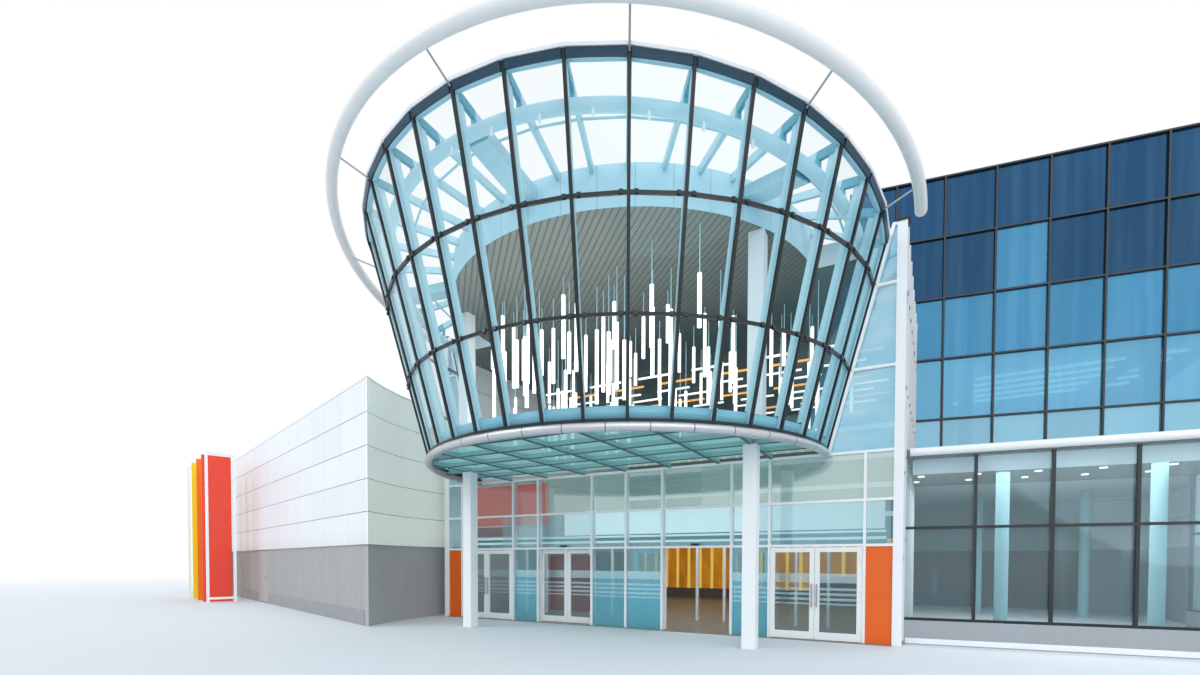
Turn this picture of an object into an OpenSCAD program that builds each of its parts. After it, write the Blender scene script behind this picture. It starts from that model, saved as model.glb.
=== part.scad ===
// Entrance building of a hypermarket: a glazed hall behind a widening half cone of glass,
// a white clad wing on the left, and a blue glazed block with a low pavilion on the right.
// Origin on the ground, in the plane of the entrance front, under the axis of the cone.
// X runs along the front, Y into the building, Z up.

/* [Entrance front] */
// Distance of the inner face of the end posts from the centre
front_half = 6650; // [5900:10:7400]
// Share of that distance from the centre to the first mullions
centre_share = 0.1654; // [0.14:0.0001:0.18]
// Share of that distance to the far edge of each sliding doorway
slide_share = 0.4511; // [0.43:0.0001:0.47]
// Share of that distance to the near edge of each swing doorway
fixed_share = 0.594; // [0.57:0.0001:0.61]
// Share of that distance to the far edge of each swing doorway
swing_share = 0.9135; // [0.89:0.0001:0.93]
// Width of the end posts
end_post = 200; // [120:10:300]
// Height of the door head
door_head = 2230; // [2100:10:2500]
// Height of the transom over the doors
mid_level = 3290; // [3000:10:3500]
// Height of the canopy, where the cone begins
canopy_level = 4380; // [4200:10:4600]
// Height of the first transom ring of the cone
ring_level_a = 6250; // [6000:10:6500]
// Height of the second transom ring of the cone
ring_level_b = 8055; // [7800:10:8200]
// Height of the top of the front and of the hall walls
front_top = 9340; // [9200:10:9600]
// Width of a front mullion or transom
bar_w = 60; // [40:5:80]
// Depth of the outer cap of a front mullion
cap_d = 60; // [50:5:80]
// Thickness of the glass sheets
glass_t = 20; // [12:1:30]
// Depth of the inner post behind the glass
inner_d = 120; // [80:10:140]
// Depth of the door sill in front of the front plane
sill_d = 75; // [40:5:120]

/* [Doors] */
// Thickness of a sliding leaf
slide_t = 40; // [30:1:45]
// Overlap of a closed sliding leaf over its jamb
slide_lap = 40; // [20:5:60]
// Gap between two leaves that meet
meet_gap = 8; // [6:1:12]
// Gap beside a leaf on its hinge side
leaf_gap = 6; // [5:1:10]
// Gap under a leaf
floor_gap = 10; // [6:1:20]
// Gap over a leaf
head_gap = 15; // [10:1:20]
// Distance that a sliding leaf travels
slide_travel = 900; // [800:10:930]
// Thickness of a swing leaf
swing_t = 45; // [35:1:50]
// Width of the stiles and the top rail of a leaf
stile_w = 110; // [80:5:140]
// Height of the bottom rail of a leaf
kick_h = 180; // [120:10:260]
// Thickness of the pane of a leaf
pane_t = 12; // [8:1:20]
// Radius of a hinge knuckle
knuckle_r = 10; // [8:1:10]
// Height of one hinge knuckle
knuckle_h = 80; // [50:5:120]
// Length of a hinge strap over a leaf or a frame
strap_w = 50; // [40:5:60]
// Radius of a roller that carries a sliding leaf
roller_r = 18; // [14:1:20]
// Length of a roller
roller_w = 50; // [40:5:50]
// Height of the channel over the sliding doors
track_h = 140; // [120:5:160]
// Depth of the channel over the sliding doors
track_d = 100; // [90:5:120]

/* [Cone] */
// Distance of the foot of the cone from the end posts
cone_in = 1390; // [1340:10:1600]
// Growth of the radius for each millimetre of height
cone_slope = 0.262; // [0.2:0.001:0.27]
// Number of glass facets over the half circle
facets = 20; // [20:1:20]
// Height of the rim plane above the front plane
rim_level = 9020; // [8900:10:9100]
// Rise of the rim for each millimetre in front of the front plane
rim_slope = 0.16; // [0.1:0.005:0.2]
// Radius of the tube along the bottom of the cone
hoop_r = 90; // [60:5:110]
// Width of a cone mullion
rib_w = 60; // [40:5:80]
// Depth of a cone mullion
rib_d = 140; // [100:5:160]
// Depth of the glass behind the outer face of the cone
pane_in = 60; // [40:5:80]
// Height of a transom of the cone
band_h = 60; // [40:5:80]
// Height of the rail along the rim
rim_h = 130; // [90:5:160]
// Distance by which the rail stands out along the rim
rim_out = 20; // [10:1:30]
// Spacing of the soffit beams along the front
soffit_x = 1327; // [1200:1:1400]
// Spacing of the soffit beams away from the front
soffit_y = 950; // [850:10:1000]
// Height of the soffit beams
soffit_h = 110; // [90:10:110]
// Width of the soffit beams
soffit_w = 70; // [50:5:100]
// Side of a canopy column
column_w = 290; // [240:10:340]
// Side of the posts that carry the round roof, over the canopy columns
post_w = 330; // [300:10:380]
// Distance by which these posts stand further out than the columns
post_shift = 100; // [0:10:120]

/* [Halo and roof edge] */
// Distance of the centre line of the halo tube outside the foot of the cone
halo_out = 1834; // [1700:2:1950]
// Distance of the centre of the halo in front of the front plane
halo_y = 386; // [300:2:450]
// Radius of the halo tube
halo_tube = 118; // [90:2:130]
// Height of the halo plane above the front plane
halo_level = 9178; // [9100:2:9250]
// Rise of the halo for each millimetre in front of the front plane
halo_slope = 0.15; // [0.13:0.005:0.17]
// Step from the tube to the rounded caps on its ends
cap_step = 2; // [1:1:5]
// Radius of the thin struts of the halo
strut_r = 18; // [12:1:30]
// Distance of the round roof edge inside the foot of the cone
drum_in = 401; // [350:1:600]
// Distance of the centre of the round roof behind the front plane
drum_y = 333; // [250:1:400]
// Underside of the hall roof
ceiling_level = 8833; // [8750:1:8900]
// Top of the round roof edge
drum_top = 9686; // [9600:1:9750]
// Distance of the centre line of the ring tube outside the foot of the cone
ring_out = 702; // [650:1:720]
// Distance of the centre of the ring in front of the front plane
ring_y = 280; // [200:5:320]
// Radius of the ring tube
ring_tube = 118; // [90:2:130]
// Height of the ring plane above the front plane
ring_level = 8643; // [8560:1:8700]
// Height of a rafter
rafter_h = 160; // [120:10:200]
// Width of a rafter
rafter_w = 80; // [60:5:120]
// Place of the purlins along the rafters, as a share from the roof edge
purlin_share = 0.52; // [0.4:0.01:0.6]
// Radius of a purlin
purlin_r = 25; // [15:1:35]
// Width of the lug that carries the ring tube
lug_w = 60; // [40:5:100]
// Width of the beams between the round roof and the ring tube
beam_w = 450; // [350:10:550]
// Height of these beams
beam_h = 240; // [180:10:240]
// Depth of their centre line below the top of the roof edge
beam_drop = 290; // [285:5:350]
// Angle between two of these beams
beam_step = 60; // [60:1:60]

/* [Hall] */
// Depth of the building behind the front
depth = 14000; // [13000:100:15000]
// Thickness of the walls
wall_t = 200; // [150:10:250]
// Thickness of the floors
floor_t = 20; // [15:1:40]
// Thickness of the roofs and upper floors
slab_t = 200; // [150:10:300]

/* [Wing] */
// Angle by which the long face turns away from the front
wing_turn = 18; // [16:0.5:20]
// Distance of the curved end wall outside the hall
curve_out = 390; // [350:10:550]
// Angle from the front line to the corner of the wing
corner_angle = 28.5; // [26:0.5:30]
// Number of parts of the curved wall
curve_parts = 4; // [3:1:6]
// Length of the long face
wing_len = 19600; // [17600:100:19800]
// Height of the grey base
base_h = 2334; // [2300:1:2400]
// Height of one row of cladding panels
row_h = 932; // [900:1:960]
// Number of rows of cladding panels
rows = 5; // [5:1:5]
// Set back of the grey base behind the cladding
set_back = 50; // [30:5:80]
// Height of the dark plinth
plinth_h = 450; // [300:10:600]
// Depth of the dark plinth in front of the base
plinth_d = 15; // [10:1:25]
// Height of the parapet cap over the cladding
cap_h = 60; // [40:5:90]
// Distance by which the parapet cap stands out
cap_out = 20; // [10:5:40]
// Drop of the wing's roof below the top of the cladding
roof_drop = 200; // [100:10:400]
// Distance of the curved wall's end behind the front
tail_y = 700; // [500:10:900]
// Distance of the service doorway before the near portal
service_before = 1660; // [1600:10:2100]
// Width of the service doorway
service_w = 1420; // [1200:10:1440]
// Thickness of the service door
service_t = 45; // [35:1:60]

/* [Fins] */
// Distance of the far portal before the end of the wing
fins_before = 599; // [400:1:700]
// Gap between the wall and the fins
fins_gap = 783; // [700:1:850]
// Width of a fin
fin_w = 1125; // [1000:5:1200]
// Height of the fins and of the portals
fins_h = 6613; // [6500:1:6900]
// Side of a post of a portal
fin_post = 100; // [80:5:120]
// Height of the bottom beam of a portal above the ground
beam_z = 150; // [100:10:250]
// Thickness of a fin
fin_t = 60; // [40:5:80]
// Distance of the first fin behind the near portal
fin_first = 1000; // [900:10:1100]
// Spacing of the fins
fin_step = 1467; // [1300:1:1500]
// Thickness of the rods that tie the fins and the portals to the wall
tie_t = 30; // [20:5:50]
// Height of the ties
tie_z = 2250; // [2000:10:2300]

/* [Blue block] */
// Turn of the blue front away from the entrance front
block_turn = 8.6; // [8:0.1:9]
// Distance of the blue front behind the entrance front
block_y = 6690; // [6500:10:6800]
// Width of one glass panel
panel_w = 1358; // [1300:1:1400]
// Height of one glass panel
panel_h = 1892; // [1850:1:1950]
// Rows of glass panels
panel_rows = 5; // [5:1:5]
// Distance of the first whole panel from the hall wall
panel_shift = 918; // [850:1:950]
// Depth of a mullion of the blue front
block_bar_d = 80; // [60:5:100]
// Width of a mullion of the blue front
block_bar_w = 50; // [40:5:60]

/* [Pavilion] */
// Turn of the pavilion front away from the entrance front
pavilion_turn = 5.9; // [5:0.1:7]
// Distance of the pavilion behind the entrance front
pavilion_y = 900; // [800:10:1000]
// Width of a pavilion bay
pavilion_bay = 1413; // [1380:1:1440]
// Number of pavilion bays
pavilion_bays = 5; // [5:1:5]
// Number of bays of the pavilion's side
side_bays = 4; // [4:1:4]
// Height of the sill
sill_h = 520; // [400:10:600]
// Height of the middle transom
pavilion_mid = 2640; // [2500:10:2800]
// Height of the pavilion
pavilion_h = 4500; // [4450:10:4600]
// Depth of a pavilion mullion
pavilion_bar_d = 80; // [60:5:100]
// Depth of the ledge in front of the glass
ledge_d = 350; // [250:10:400]
// Radius of the rounded rail on the pavilion
rail_r = 90; // [70:5:110]
// Radius of an inner column
inner_column_r = 150; // [120:10:200]
// Distance of the inner columns from the hall wall
inner_columns_x = 2200; // [1800:10:2600]
// Spacing of the inner columns along the front
inner_columns_step = 3000; // [2600:10:3400]

/* [Hidden] */
$fn = 48;
big_fn = 720;
seat = 0.3;
cut = 1;
white = "white";
steel = "lightgray";
dark = "dimgray";
clear = "lightblue";

bay_step = 5;
function bay_at(share) = bay_step * round(front_half * share / bay_step);
bay_centre = bay_at(centre_share);
bay_slide = bay_at(slide_share);
bay_fixed = bay_at(fixed_share);
bay_swing = bay_at(swing_share);
cone_r = front_half - cone_in;
inner_y = cap_d + glass_t;
front_d = inner_y + inner_d;
mullion_xs = [-bay_swing, -bay_fixed, -bay_slide, -bay_centre, 0, bay_centre, bay_slide, bay_fixed, bay_swing];
bay_edges = concat([-front_half - bar_w / 2], mullion_xs, [front_half + bar_w / 2]);
hall_in = front_half;
hall_out = front_half + end_post;

// A box given by its lowest and highest corners
module span(low, high) {
  translate(low) cube([high[0] - low[0], high[1] - low[1], high[2] - low[2]]);
}

// An upright prism between two heights
module prism(z0, z1, points) translate([0, 0, z0]) linear_extrude(z1 - z0) polygon(points);

module mirrored() {
  children();
  mirror([1, 0, 0]) children();
}

/* Entrance front */

module hall_floor() color("silver")
  span([-hall_in, -sill_d, 0], [hall_in, depth - wall_t, floor_t]);

module front_mullions() color(white) {
  for (x = mullion_xs) {
    span([x - bar_w / 2, 0, floor_t], [x + bar_w / 2, cap_d, canopy_level - bar_w / 2]);
    span([x - bar_w / 2, inner_y, floor_t], [x + bar_w / 2, front_d, canopy_level - bar_w / 2]);
  }
  mirrored() {
    translate([swing_low, 0, 0]) fixed_hinges();
    translate([swing_high, 0, 0]) mirror([1, 0, 0]) fixed_hinges();
  }
}

// One transom of a bay, as an outer cap
module transom_cap(x0, x1, z)
  span([x0 + bar_w / 2, 0, z - bar_w / 2], [x1 - bar_w / 2, cap_d, z + bar_w / 2]);

// Outer edge of the cone in the front plane
function edge(z) = cone_radius(z) + seat;

// Upright sheet in the front plane beside the cone, over the canopy
module beside_cone(y, d, low_x, high_x) {
  low = canopy_level + bar_w / 2 + seat;
  translate([0, y + d, 0]) rotate([90, 0, 0]) linear_extrude(d)
    polygon([[edge(low), low], [low_x, low], [high_x, front_top], [edge(front_top), front_top]]);
}

module front_transoms() color(white) {
  for (i = [0 : len(bay_edges) - 2])
    for (z = [door_head + bar_w / 2, mid_level])
      transom_cap(bay_edges[i], bay_edges[i + 1], z);
  span([-front_half, 0, canopy_level - bar_w / 2], [front_half, front_d, canopy_level + bar_w / 2]);
  mirrored() {
    beside_cone(0, cap_d, edge(canopy_level) + bar_w, min(edge(front_top) + bar_w, front_half));
    for (z = [ring_level_a, ring_level_b, front_top - bar_w / 2])
      span([edge(z + bar_w / 2), 0, z - bar_w / 2], [front_half, cap_d, z + bar_w / 2]);
  }
}

glass_head = door_head + bar_w / 2;
module front_glass() color(clear, 0.4) {
  mirrored() {
    span([seat, cap_d, floor_t], [bay_centre, inner_y, glass_head - seat]);
    span([bay_slide, cap_d, floor_t], [bay_fixed, inner_y, glass_head - seat]);
    beside_cone(cap_d, glass_t, front_half, front_half);
  }
  span([-front_half, cap_d, glass_head], [front_half, inner_y, canopy_level - bar_w / 2]);
}

module end_panels() color("orangered") mirrored()
  span([bay_swing + bar_w / 2, cap_d / 2, floor_t], [front_half, inner_y, door_head]);

module end_posts() color(white) mirrored()
  span([front_half, 0, 0], [hall_out, front_d, front_top]);

// Channel over a sliding doorway, with the lip that the rollers run on
plate_t = 8;
lip_t = 10;
lip_up = 40;
track_end = 60;
track_low = glass_head;
track_top = track_low + track_h;
lip_z = track_low + lip_up;
track_back = front_d + track_d;
module track(x0, x1) {
  translate([x0, 0, 0]) rotate([90, 0, 90]) linear_extrude(x1 - x0) polygon([
    [front_d, track_low], [front_d + plate_t, track_low],
    [front_d + plate_t, track_top - plate_t], [track_back - plate_t, track_top - plate_t],
    [track_back - plate_t, lip_z], [track_back - track_d / 2, lip_z],
    [track_back - track_d / 2, lip_z - lip_t], [track_back, lip_z - lip_t],
    [track_back, track_top], [front_d, track_top]]);
}

module door_tracks() color(steel) mirrored() track(track_end, bay_fixed + bay_centre - track_end);

/* Sliding leaves */

run_gap = 15;
slide_mid = (bay_centre + bay_slide) / 2;
slide_y = front_d + run_gap;
slide_w = slide_mid - meet_gap / 2 - (bay_centre + bar_w / 2 - slide_lap);
leaf_low = floor_t + floor_gap;
leaf_top = door_head - head_gap;

// A framed leaf in its own plane: x from 0 to w, with a thinner pane
module leaf(w, t) {
  span([0, 0, leaf_low], [stile_w, t, leaf_top]);
  span([w - stile_w, 0, leaf_low], [w, t, leaf_top]);
  span([stile_w, 0, leaf_low], [w - stile_w, t, leaf_low + kick_h]);
  span([stile_w, 0, leaf_top - stile_w], [w - stile_w, t, leaf_top]);
  span([stile_w, (t - pane_t) / 2, leaf_low + kick_h], [w - stile_w, (t + pane_t) / 2, leaf_top - stile_w]);
}

hanger_w = 60;
hanger_t = 10;
hanger_in = 150;
module hanger(x) {
  span([x - hanger_w / 2, slide_y, leaf_top], [x + hanger_w / 2, slide_y + hanger_t, lip_z + 2 * roller_r]);
  translate([x, slide_y + hanger_t + roller_w, lip_z + roller_r + seat])
    rotate([90, 0, 0]) cylinder(r = roller_r, h = roller_w);
}

// A sliding leaf whose left edge is at x
module slider(x) {
  translate([x, slide_y, 0]) leaf(slide_w, slide_t);
  hanger(x + hanger_in);
  hanger(x + slide_w - hanger_in);
}

slide_low = slide_mid - meet_gap / 2 - slide_w;
slide_high = slide_mid + meet_gap / 2;
module left_slider_a() color(white) slider(-slide_high - slide_w);
module left_slider_b() color(white) slider(-slide_low - slide_w);
module right_slider_a() color(white) slider(slide_low - slide_travel);
module right_slider_b() color(white) slider(slide_high + slide_travel);

/* Swing leaves */

swing_y = 5;
hinge_out = 12;
hinge_lap = 2;
swing_low = bay_fixed + bar_w / 2 + leaf_gap;
swing_high = bay_swing - bar_w / 2 - leaf_gap;
swing_w = (swing_high - swing_low - meet_gap) / 2;
hinge_zs = [250, 1100, 1900];

// Leaf half of the hinges, for a leaf that starts at x = 0
module leaf_hinges() for (z = hinge_zs) {
  translate([-leaf_gap / 2, -hinge_out, z]) cylinder(r = knuckle_r, h = knuckle_h);
  span([-leaf_gap / 2, hinge_lap - hinge_out, z], [strap_w, swing_y, z + knuckle_h]);
}

// Fixed half of the hinges, under each leaf knuckle
module fixed_hinges() for (z = hinge_zs) {
  translate([-leaf_gap / 2, -hinge_out, z - seat - knuckle_h]) cylinder(r = knuckle_r, h = knuckle_h);
  span([-strap_w, hinge_lap - hinge_out, z - seat - knuckle_h], [-leaf_gap / 2, 0, z - seat]);
}

module swing_leaf() {
  translate([0, swing_y, 0]) leaf(swing_w, swing_t);
  leaf_hinges();
}

module right_swing_a() color(white) translate([swing_low, 0, 0]) swing_leaf();
module right_swing_b() color(white) translate([swing_high, 0, 0]) mirror([1, 0, 0]) swing_leaf();
module left_swing_a() color(white) translate([-swing_high, 0, 0]) swing_leaf();
module left_swing_b() color(white) translate([-swing_low, 0, 0]) mirror([1, 0, 0]) swing_leaf();

/* Hall walls and roof */

module hall_left_wall() color(white)
  span([-hall_out, front_d, 0], [-hall_in, depth, front_top]);

module louvre_wall() color(white)
  span([hall_in, front_d, 0], [hall_out, depth, front_top]);

module hall_rear_wall() color(white)
  span([-hall_in, depth - wall_t, 0], [hall_in, depth, front_top]);

module hall_roof() color("gray")
  span([-hall_in, front_d, ceiling_level], [hall_in, depth - wall_t, front_top]);

// Round roof: it stands out into the cone and rests on the hall roof
drum_r = cone_r - drum_in;
module roof_drum() color(clear) difference() {
  translate([0, drum_y, ceiling_level]) cylinder(r = drum_r, h = drum_top - ceiling_level, $fn = big_fn);
  span([-drum_r - cut, front_d - seat, ceiling_level - cut],
       [drum_r + cut, drum_y + drum_r + cut, front_top + seat]);
}

// Upright square post over a canopy column, with a margin round it
module post(margin) mirrored() translate([3 * soffit_x + post_shift, -2 * soffit_y, 0])
  span([-post_w / 2 - margin, -post_w / 2 - margin, canopy_level + soffit_h + seat],
       [post_w / 2 + margin, post_w / 2 + margin, ceiling_level - seat]);

module columns() color(white) {
  mirrored() translate([3 * soffit_x, -2 * soffit_y, 0])
    span([-column_w / 2, -column_w / 2, 0], [column_w / 2, column_w / 2, canopy_level]);
  post(0);
}

/* Cone */

step = 180 / facets;
half = facets / 2;
tilt = atan(cone_slope * cos(step / 2));
rib_tilt = atan(cone_slope);
cone_low = canopy_level + hoop_r + seat;

function cone_radius(z) = cone_r + cone_slope * (z - canopy_level);
function rim_z(a) = (rim_level + rim_slope * cos(a) * (cone_r - cone_slope * canopy_level))
  / (1 - rim_slope * cone_slope * cos(a));
function slant(z) = (z - canopy_level) / cos(tilt);
// Half the width of a facet between its mullions, at height z and depth d
function half_width(z, d) = sin(step / 2) * cone_radius(z) - d * cos(tilt) * tan(step / 2)
  - (rib_w / 2 + seat) / cos(step / 2);
// Children in the plane of facet i: x across, y up the slope, z outwards
module on_facet(i)
  rotate([0, 0, (i + 0.5) * step])
    translate([0, -cone_r * cos(step / 2), canopy_level]) rotate([90 + tilt, 0, 0]) children();

// Height, up the slope, of a straight edge that joins two corners of a facet
function corner_x(z) = sin(step / 2) * cone_radius(z);
function edge_up(x, l, r) = slant(l) + (slant(r) - slant(l)) * (x + corner_x(l)) / (corner_x(l) + corner_x(r));
function edge_l(d, l, r) = [-half_width(l, d), edge_up(-half_width(l, d), l, r)];
function edge_r(d, l, r) = [half_width(r, d), edge_up(half_width(r, d), l, r)];

// A strip of a facet, down to depth d, between heights at its left and right corners
module strip(d, low_l, low_r, high_l, high_r)
  polygon([edge_l(d, low_l, low_r), edge_r(d, low_l, low_r), edge_r(d, high_l, high_r), edge_l(d, high_l, high_r)]);

module each_facet() for (i = [-half : half - 1]) {
  $left = rim_z(i * step);
  $right = rim_z((i + 1) * step);
  on_facet(i) children();
}

module cone_glass() color(clear, 0.4) each_facet()
  translate([0, 0, -pane_in - glass_t]) linear_extrude(glass_t)
    strip(pane_in + glass_t, cone_low, cone_low, $left - rim_h - seat, $right - rim_h - seat);

module cone_bands() color(dark) each_facet()
  for (z = [cone_low + band_h / 2, ring_level_a, ring_level_b])
    translate([0, 0, -pane_in]) linear_extrude(pane_in)
      strip(pane_in, z - band_h / 2, z - band_h / 2, z + band_h / 2, z + band_h / 2);

// The rail is shallower than the mullions, clear of the ends of the rafters
rim_in = 10;
rim_d = rib_d - rim_in;
module cone_rim() color(dark) each_facet()
  translate([0, 0, -rim_d]) linear_extrude(rim_d + rim_out)
    strip(rim_d, $left - rim_h, $right - rim_h, $left, $right);

module cone_ribs() color(dark)
  for (i = [-half : half])
    rotate([0, 0, i * step]) translate([0, -cone_r, canopy_level]) rotate([90 + rib_tilt, 0, 0])
      span([-rib_w / 2, hoop_r + seat, -rib_d],
           [rib_w / 2, (rim_z(i * step) - canopy_level) / cos(rib_tilt), 0]);

// Children in a plane that rises away from the front, round a centre at y in front of it
module rising(y, level, slope) translate([0, -y, level + slope * y]) rotate([-atan(slope), 0, 0]) children();

// Half torus before its centre
module half_ring(radius, tube) rotate([0, 0, 180])
  rotate_extrude(angle = 180, $fn = big_fn) translate([radius, 0]) circle(r = tube);

// Distance of the centre line of such a ring from the axis of the cone, along a line at angle a
// that passes the axis at a distance aside
function ring_reach(a, y, slope, radius, aside = 0) = let (
  flat = radius * cos(atan(slope)),
  deep = y + aside * sin(a),
  q = pow(sin(a) / radius, 2) + pow(cos(a) / flat, 2),
  b = deep * cos(a) / pow(flat, 2) - aside * sin(a) * cos(a) / pow(radius, 2),
  c = pow(aside * cos(a) / radius, 2) + pow(deep / flat, 2) - 1
) (b + sqrt(b * b - q * c)) / q;

// Direction of the centre line of such a ring where it crosses angle a
function ring_way(a, y, slope, radius) = let (
  turn = asin(ring_reach(a, y, slope, radius) * sin(a) / radius),
  tilt = atan(slope)
) [cos(turn), sin(turn) * cos(tilt), -sin(turn) * sin(tilt)];

module cone_hoop() color(steel) translate([0, 0, canopy_level]) half_ring(cone_r, hoop_r);

soffit_r = cone_r - hoop_r - seat;

module half_disc(r, z, h) translate([0, 0, z]) intersection() {
  cylinder(r = r, h = h, $fn = big_fn);
  span([-r - cut, -r - cut, -cut], [r + cut, -seat, h + cut]);
}

module soffit_beams() color(dark) intersection() {
  half_disc(soffit_r, canopy_level, soffit_h);
  union() {
    for (i = [-3 : 3])
      span([i * soffit_x - soffit_w / 2, -cone_r, canopy_level - cut],
           [i * soffit_x + soffit_w / 2, 0, canopy_level + soffit_h + cut]);
    for (j = [1 : floor(cone_r / soffit_y)])
      span([-cone_r, -j * soffit_y - soffit_w / 2, canopy_level - cut],
           [cone_r, -j * soffit_y + soffit_w / 2, canopy_level + soffit_h + cut]);
  }
}

module soffit_glass() color(clear, 0.4) difference() {
  half_disc(soffit_r - rib_d, canopy_level + soffit_h, glass_t);
  translate([0, 0, -cut]) post(seat);
}

/* Rafters, ring and halo */

ring_radius = cone_r + ring_out;
function rib_inner(z) = cone_radius(z) - rib_d / cos(rib_tilt) - seat;
function lug_x(a) = ring_reach(a, ring_y, rim_slope, ring_radius);
function ring_climb(a) = let (way = ring_way(a, ring_y, rim_slope, ring_radius)) abs(asin(way[2]));
function ring_top(a) = ring_level + rim_slope * cos(a) * lug_x(a) + ring_tube / cos(ring_climb(a))
  + rafter_w / 2 * tan(ring_climb(a));

// Inner end of a rafter on the round roof edge, and its centre line at a distance from the axis
rafter_mid = drum_top - rafter_h / 2;
function drum_near(a, w) = let (aside = max(abs(drum_y * sin(a)) - w / 2, 0))
  sqrt(pow(drum_r, 2) - pow(aside, 2)) - drum_y * cos(a) + seat;
function rafter_near(a) = drum_near(a, rafter_w);
function rafter_far(a) = rim_z(a) - rafter_h / 2;
function rafter_slope(a) = (rafter_far(a) - rafter_mid) / (rib_inner(rafter_far(a)) - rafter_near(a));
function rafter_at(a, r) = rafter_mid + rafter_slope(a) * (r - rafter_near(a));
function purlin_at(a) = let (r = rafter_near(a) + purlin_share * (rib_inner(rafter_far(a)) - rafter_near(a)))
  [r * sin(a), -r * cos(a), rafter_at(a, r)];

// Rafter at angle a, from the rim to the round roof edge, with the lug that carries the ring
module rafter(a, has_lug) {
  far = rafter_far(a);
  rotate([0, 0, a]) translate([rafter_w / 2, 0, 0]) rotate([90, 0, -90]) linear_extrude(rafter_w) union() {
    polygon([[rafter_near(a), rafter_mid - rafter_h / 2], [rib_inner(far - rafter_h / 2), far - rafter_h / 2],
             [rib_inner(far + rafter_h / 2), far + rafter_h / 2], [rafter_near(a), rafter_mid + rafter_h / 2]]);
    if (has_lug)
      polygon([[lug_x(a) - lug_w / 2, ring_top(a) + seat], [lug_x(a) + lug_w / 2, ring_top(a) + seat],
               [lug_x(a) + lug_w / 2, rafter_at(a, lug_x(a))], [lug_x(a) - lug_w / 2, rafter_at(a, lug_x(a))]]);
  }
}

// Length by which a purlin along the unit vector v stops short of the middle of the rafter at angle a
function purlin_trim(v, a) = let (c = v * [cos(a), sin(a), 0])
  (rafter_w / 2 + seat + purlin_r * sqrt(1 - c * c)) / c;

// Purlin from the rafter at angle a to the one at angle b
module purlin(a, b) {
  run = purlin_at(b) - purlin_at(a);
  v = run / norm(run);
  translate(purlin_at(a) + v * purlin_trim(v, a)) rotate([0, acos(v[2]), atan2(v[1], v[0])])
    cylinder(r = purlin_r, h = norm(run) - purlin_trim(v, a) - purlin_trim(v, b));
}

// Box beam at angle a, from the round roof to the inside of the ring tube
module ring_beam(a) {
  near = drum_near(a, beam_w);
  skew = asin((ring_y * abs(sin(a)) + beam_w / 2) / ring_radius);
  far = min([for (side = [-1, 1]) ring_reach(a, ring_y, rim_slope, ring_radius, side * beam_w / 2)])
    - ring_tube / cos(skew) - seat;
  low = drum_top - beam_drop;
  high = ring_level + rim_slope * cos(a) * lug_x(a);
  rotate([0, 0, a]) translate([beam_w / 2, 0, 0]) rotate([90, 0, -90]) linear_extrude(beam_w) polygon([
    [near, low - beam_h / 2], [far, high - beam_h / 2], [far, high + beam_h / 2], [near, low + beam_h / 2]]);
}

module rafters() color(clear) {
  for (i = [-half : half]) rafter(i * step, abs(i) < half);
  for (k = [-1 : 1]) ring_beam(k * beam_step);
  for (i = [-half : half - 1]) purlin(i * step, (i + 1) * step);
}

module rafter_ring() color(clear) rising(ring_y, ring_level, rim_slope) half_ring(ring_radius, ring_tube);

halo_radius = cone_r + halo_out;
module halo() color(white) rising(halo_y, halo_level, halo_slope) {
  half_ring(halo_radius, halo_tube);
  mirrored() translate([halo_radius, 0, 0]) sphere(r = halo_tube - cap_step);
}

// Thin strut from a mullion to the halo at angle a
module halo_strut(a) {
  z0 = rim_z(a) - rim_h / 2;
  r1 = ring_reach(a, halo_y, halo_slope, halo_radius);
  z1 = halo_level + halo_slope * cos(a) * r1;
  lean = rib_tilt + atan((z1 - z0) / (r1 - cone_radius(z0)));
  r0 = cone_radius(z0) + (strut_r * sin(lean) + seat) / cos(rib_tilt);
  run = norm([r1 - r0, z1 - z0]);
  way = [(r1 - r0) * sin(a), (r0 - r1) * cos(a), z1 - z0] / run;
  skew = asin(abs(way * ring_way(a, halo_y, halo_slope, halo_radius)));
  rotate([0, 0, a]) translate([0, -r0, z0]) rotate([90 + atan((z0 - z1) / (r1 - r0)), 0, 0])
    cylinder(r = strut_r, h = run - (halo_tube + strut_r * sin(skew)) / cos(skew) - seat);
}
module halo_struts() color(steel) for (i = [-9 : 3 : 9]) halo_strut(i * step);

/* Wing */

curve_r = hall_out + curve_out;
fins_at = wing_len - fins_before - fin_first - 3 * fin_step;
service_at = fins_at - service_before;
function polar(a, r) = [-r * cos(a), -r * sin(a)];
corner = polar(corner_angle, curve_r);
corner_half = (90 - corner_angle - wing_turn) / 2;
mitre_turn = wing_turn + corner_half;
clad_top = base_h + rows * row_h;
wing_end = corner + wing_len * [-cos(wing_turn), sin(wing_turn)];
tail_angle = asin(tail_y / curve_r);
tail_back = (curve_r + set_back + wall_t) * sin(tail_angle) + seat;
part_angle = (corner_angle + tail_angle) / curve_parts;
joint_angle = seat / curve_r * 180 / PI;
// Point of the corner's mitre line at a radius from the axis of the cone
function mitre_at(r) = corner + [-cos(mitre_turn), sin(mitre_turn)]
  * (sqrt(r * r - pow(curve_r * cos(corner_half), 2)) - curve_r * sin(corner_half));

// Wall coordinates: x along the long face from the corner, y outwards
module along_wing() translate([corner[0], corner[1], 0]) rotate([0, 0, 180 - wing_turn]) children();

// Start and end of the long wall at a distance outwards, mitred at the corner and cut along the end wall
function wall_start(o) = -o / tan(corner_half);
function wall_stop(o) = (corner[0] - wing_end[0] - wall_t - o * sin(wing_turn)) / cos(wing_turn);

module long_wall(o0, o1, z0, z1, from, to) prism(z0, z1, [
  [max(wall_start(o0), from), o0], [min(wall_stop(o0), to), o0],
  [min(wall_stop(o1), to), o1], [max(wall_start(o1), from), o1]]);

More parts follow.
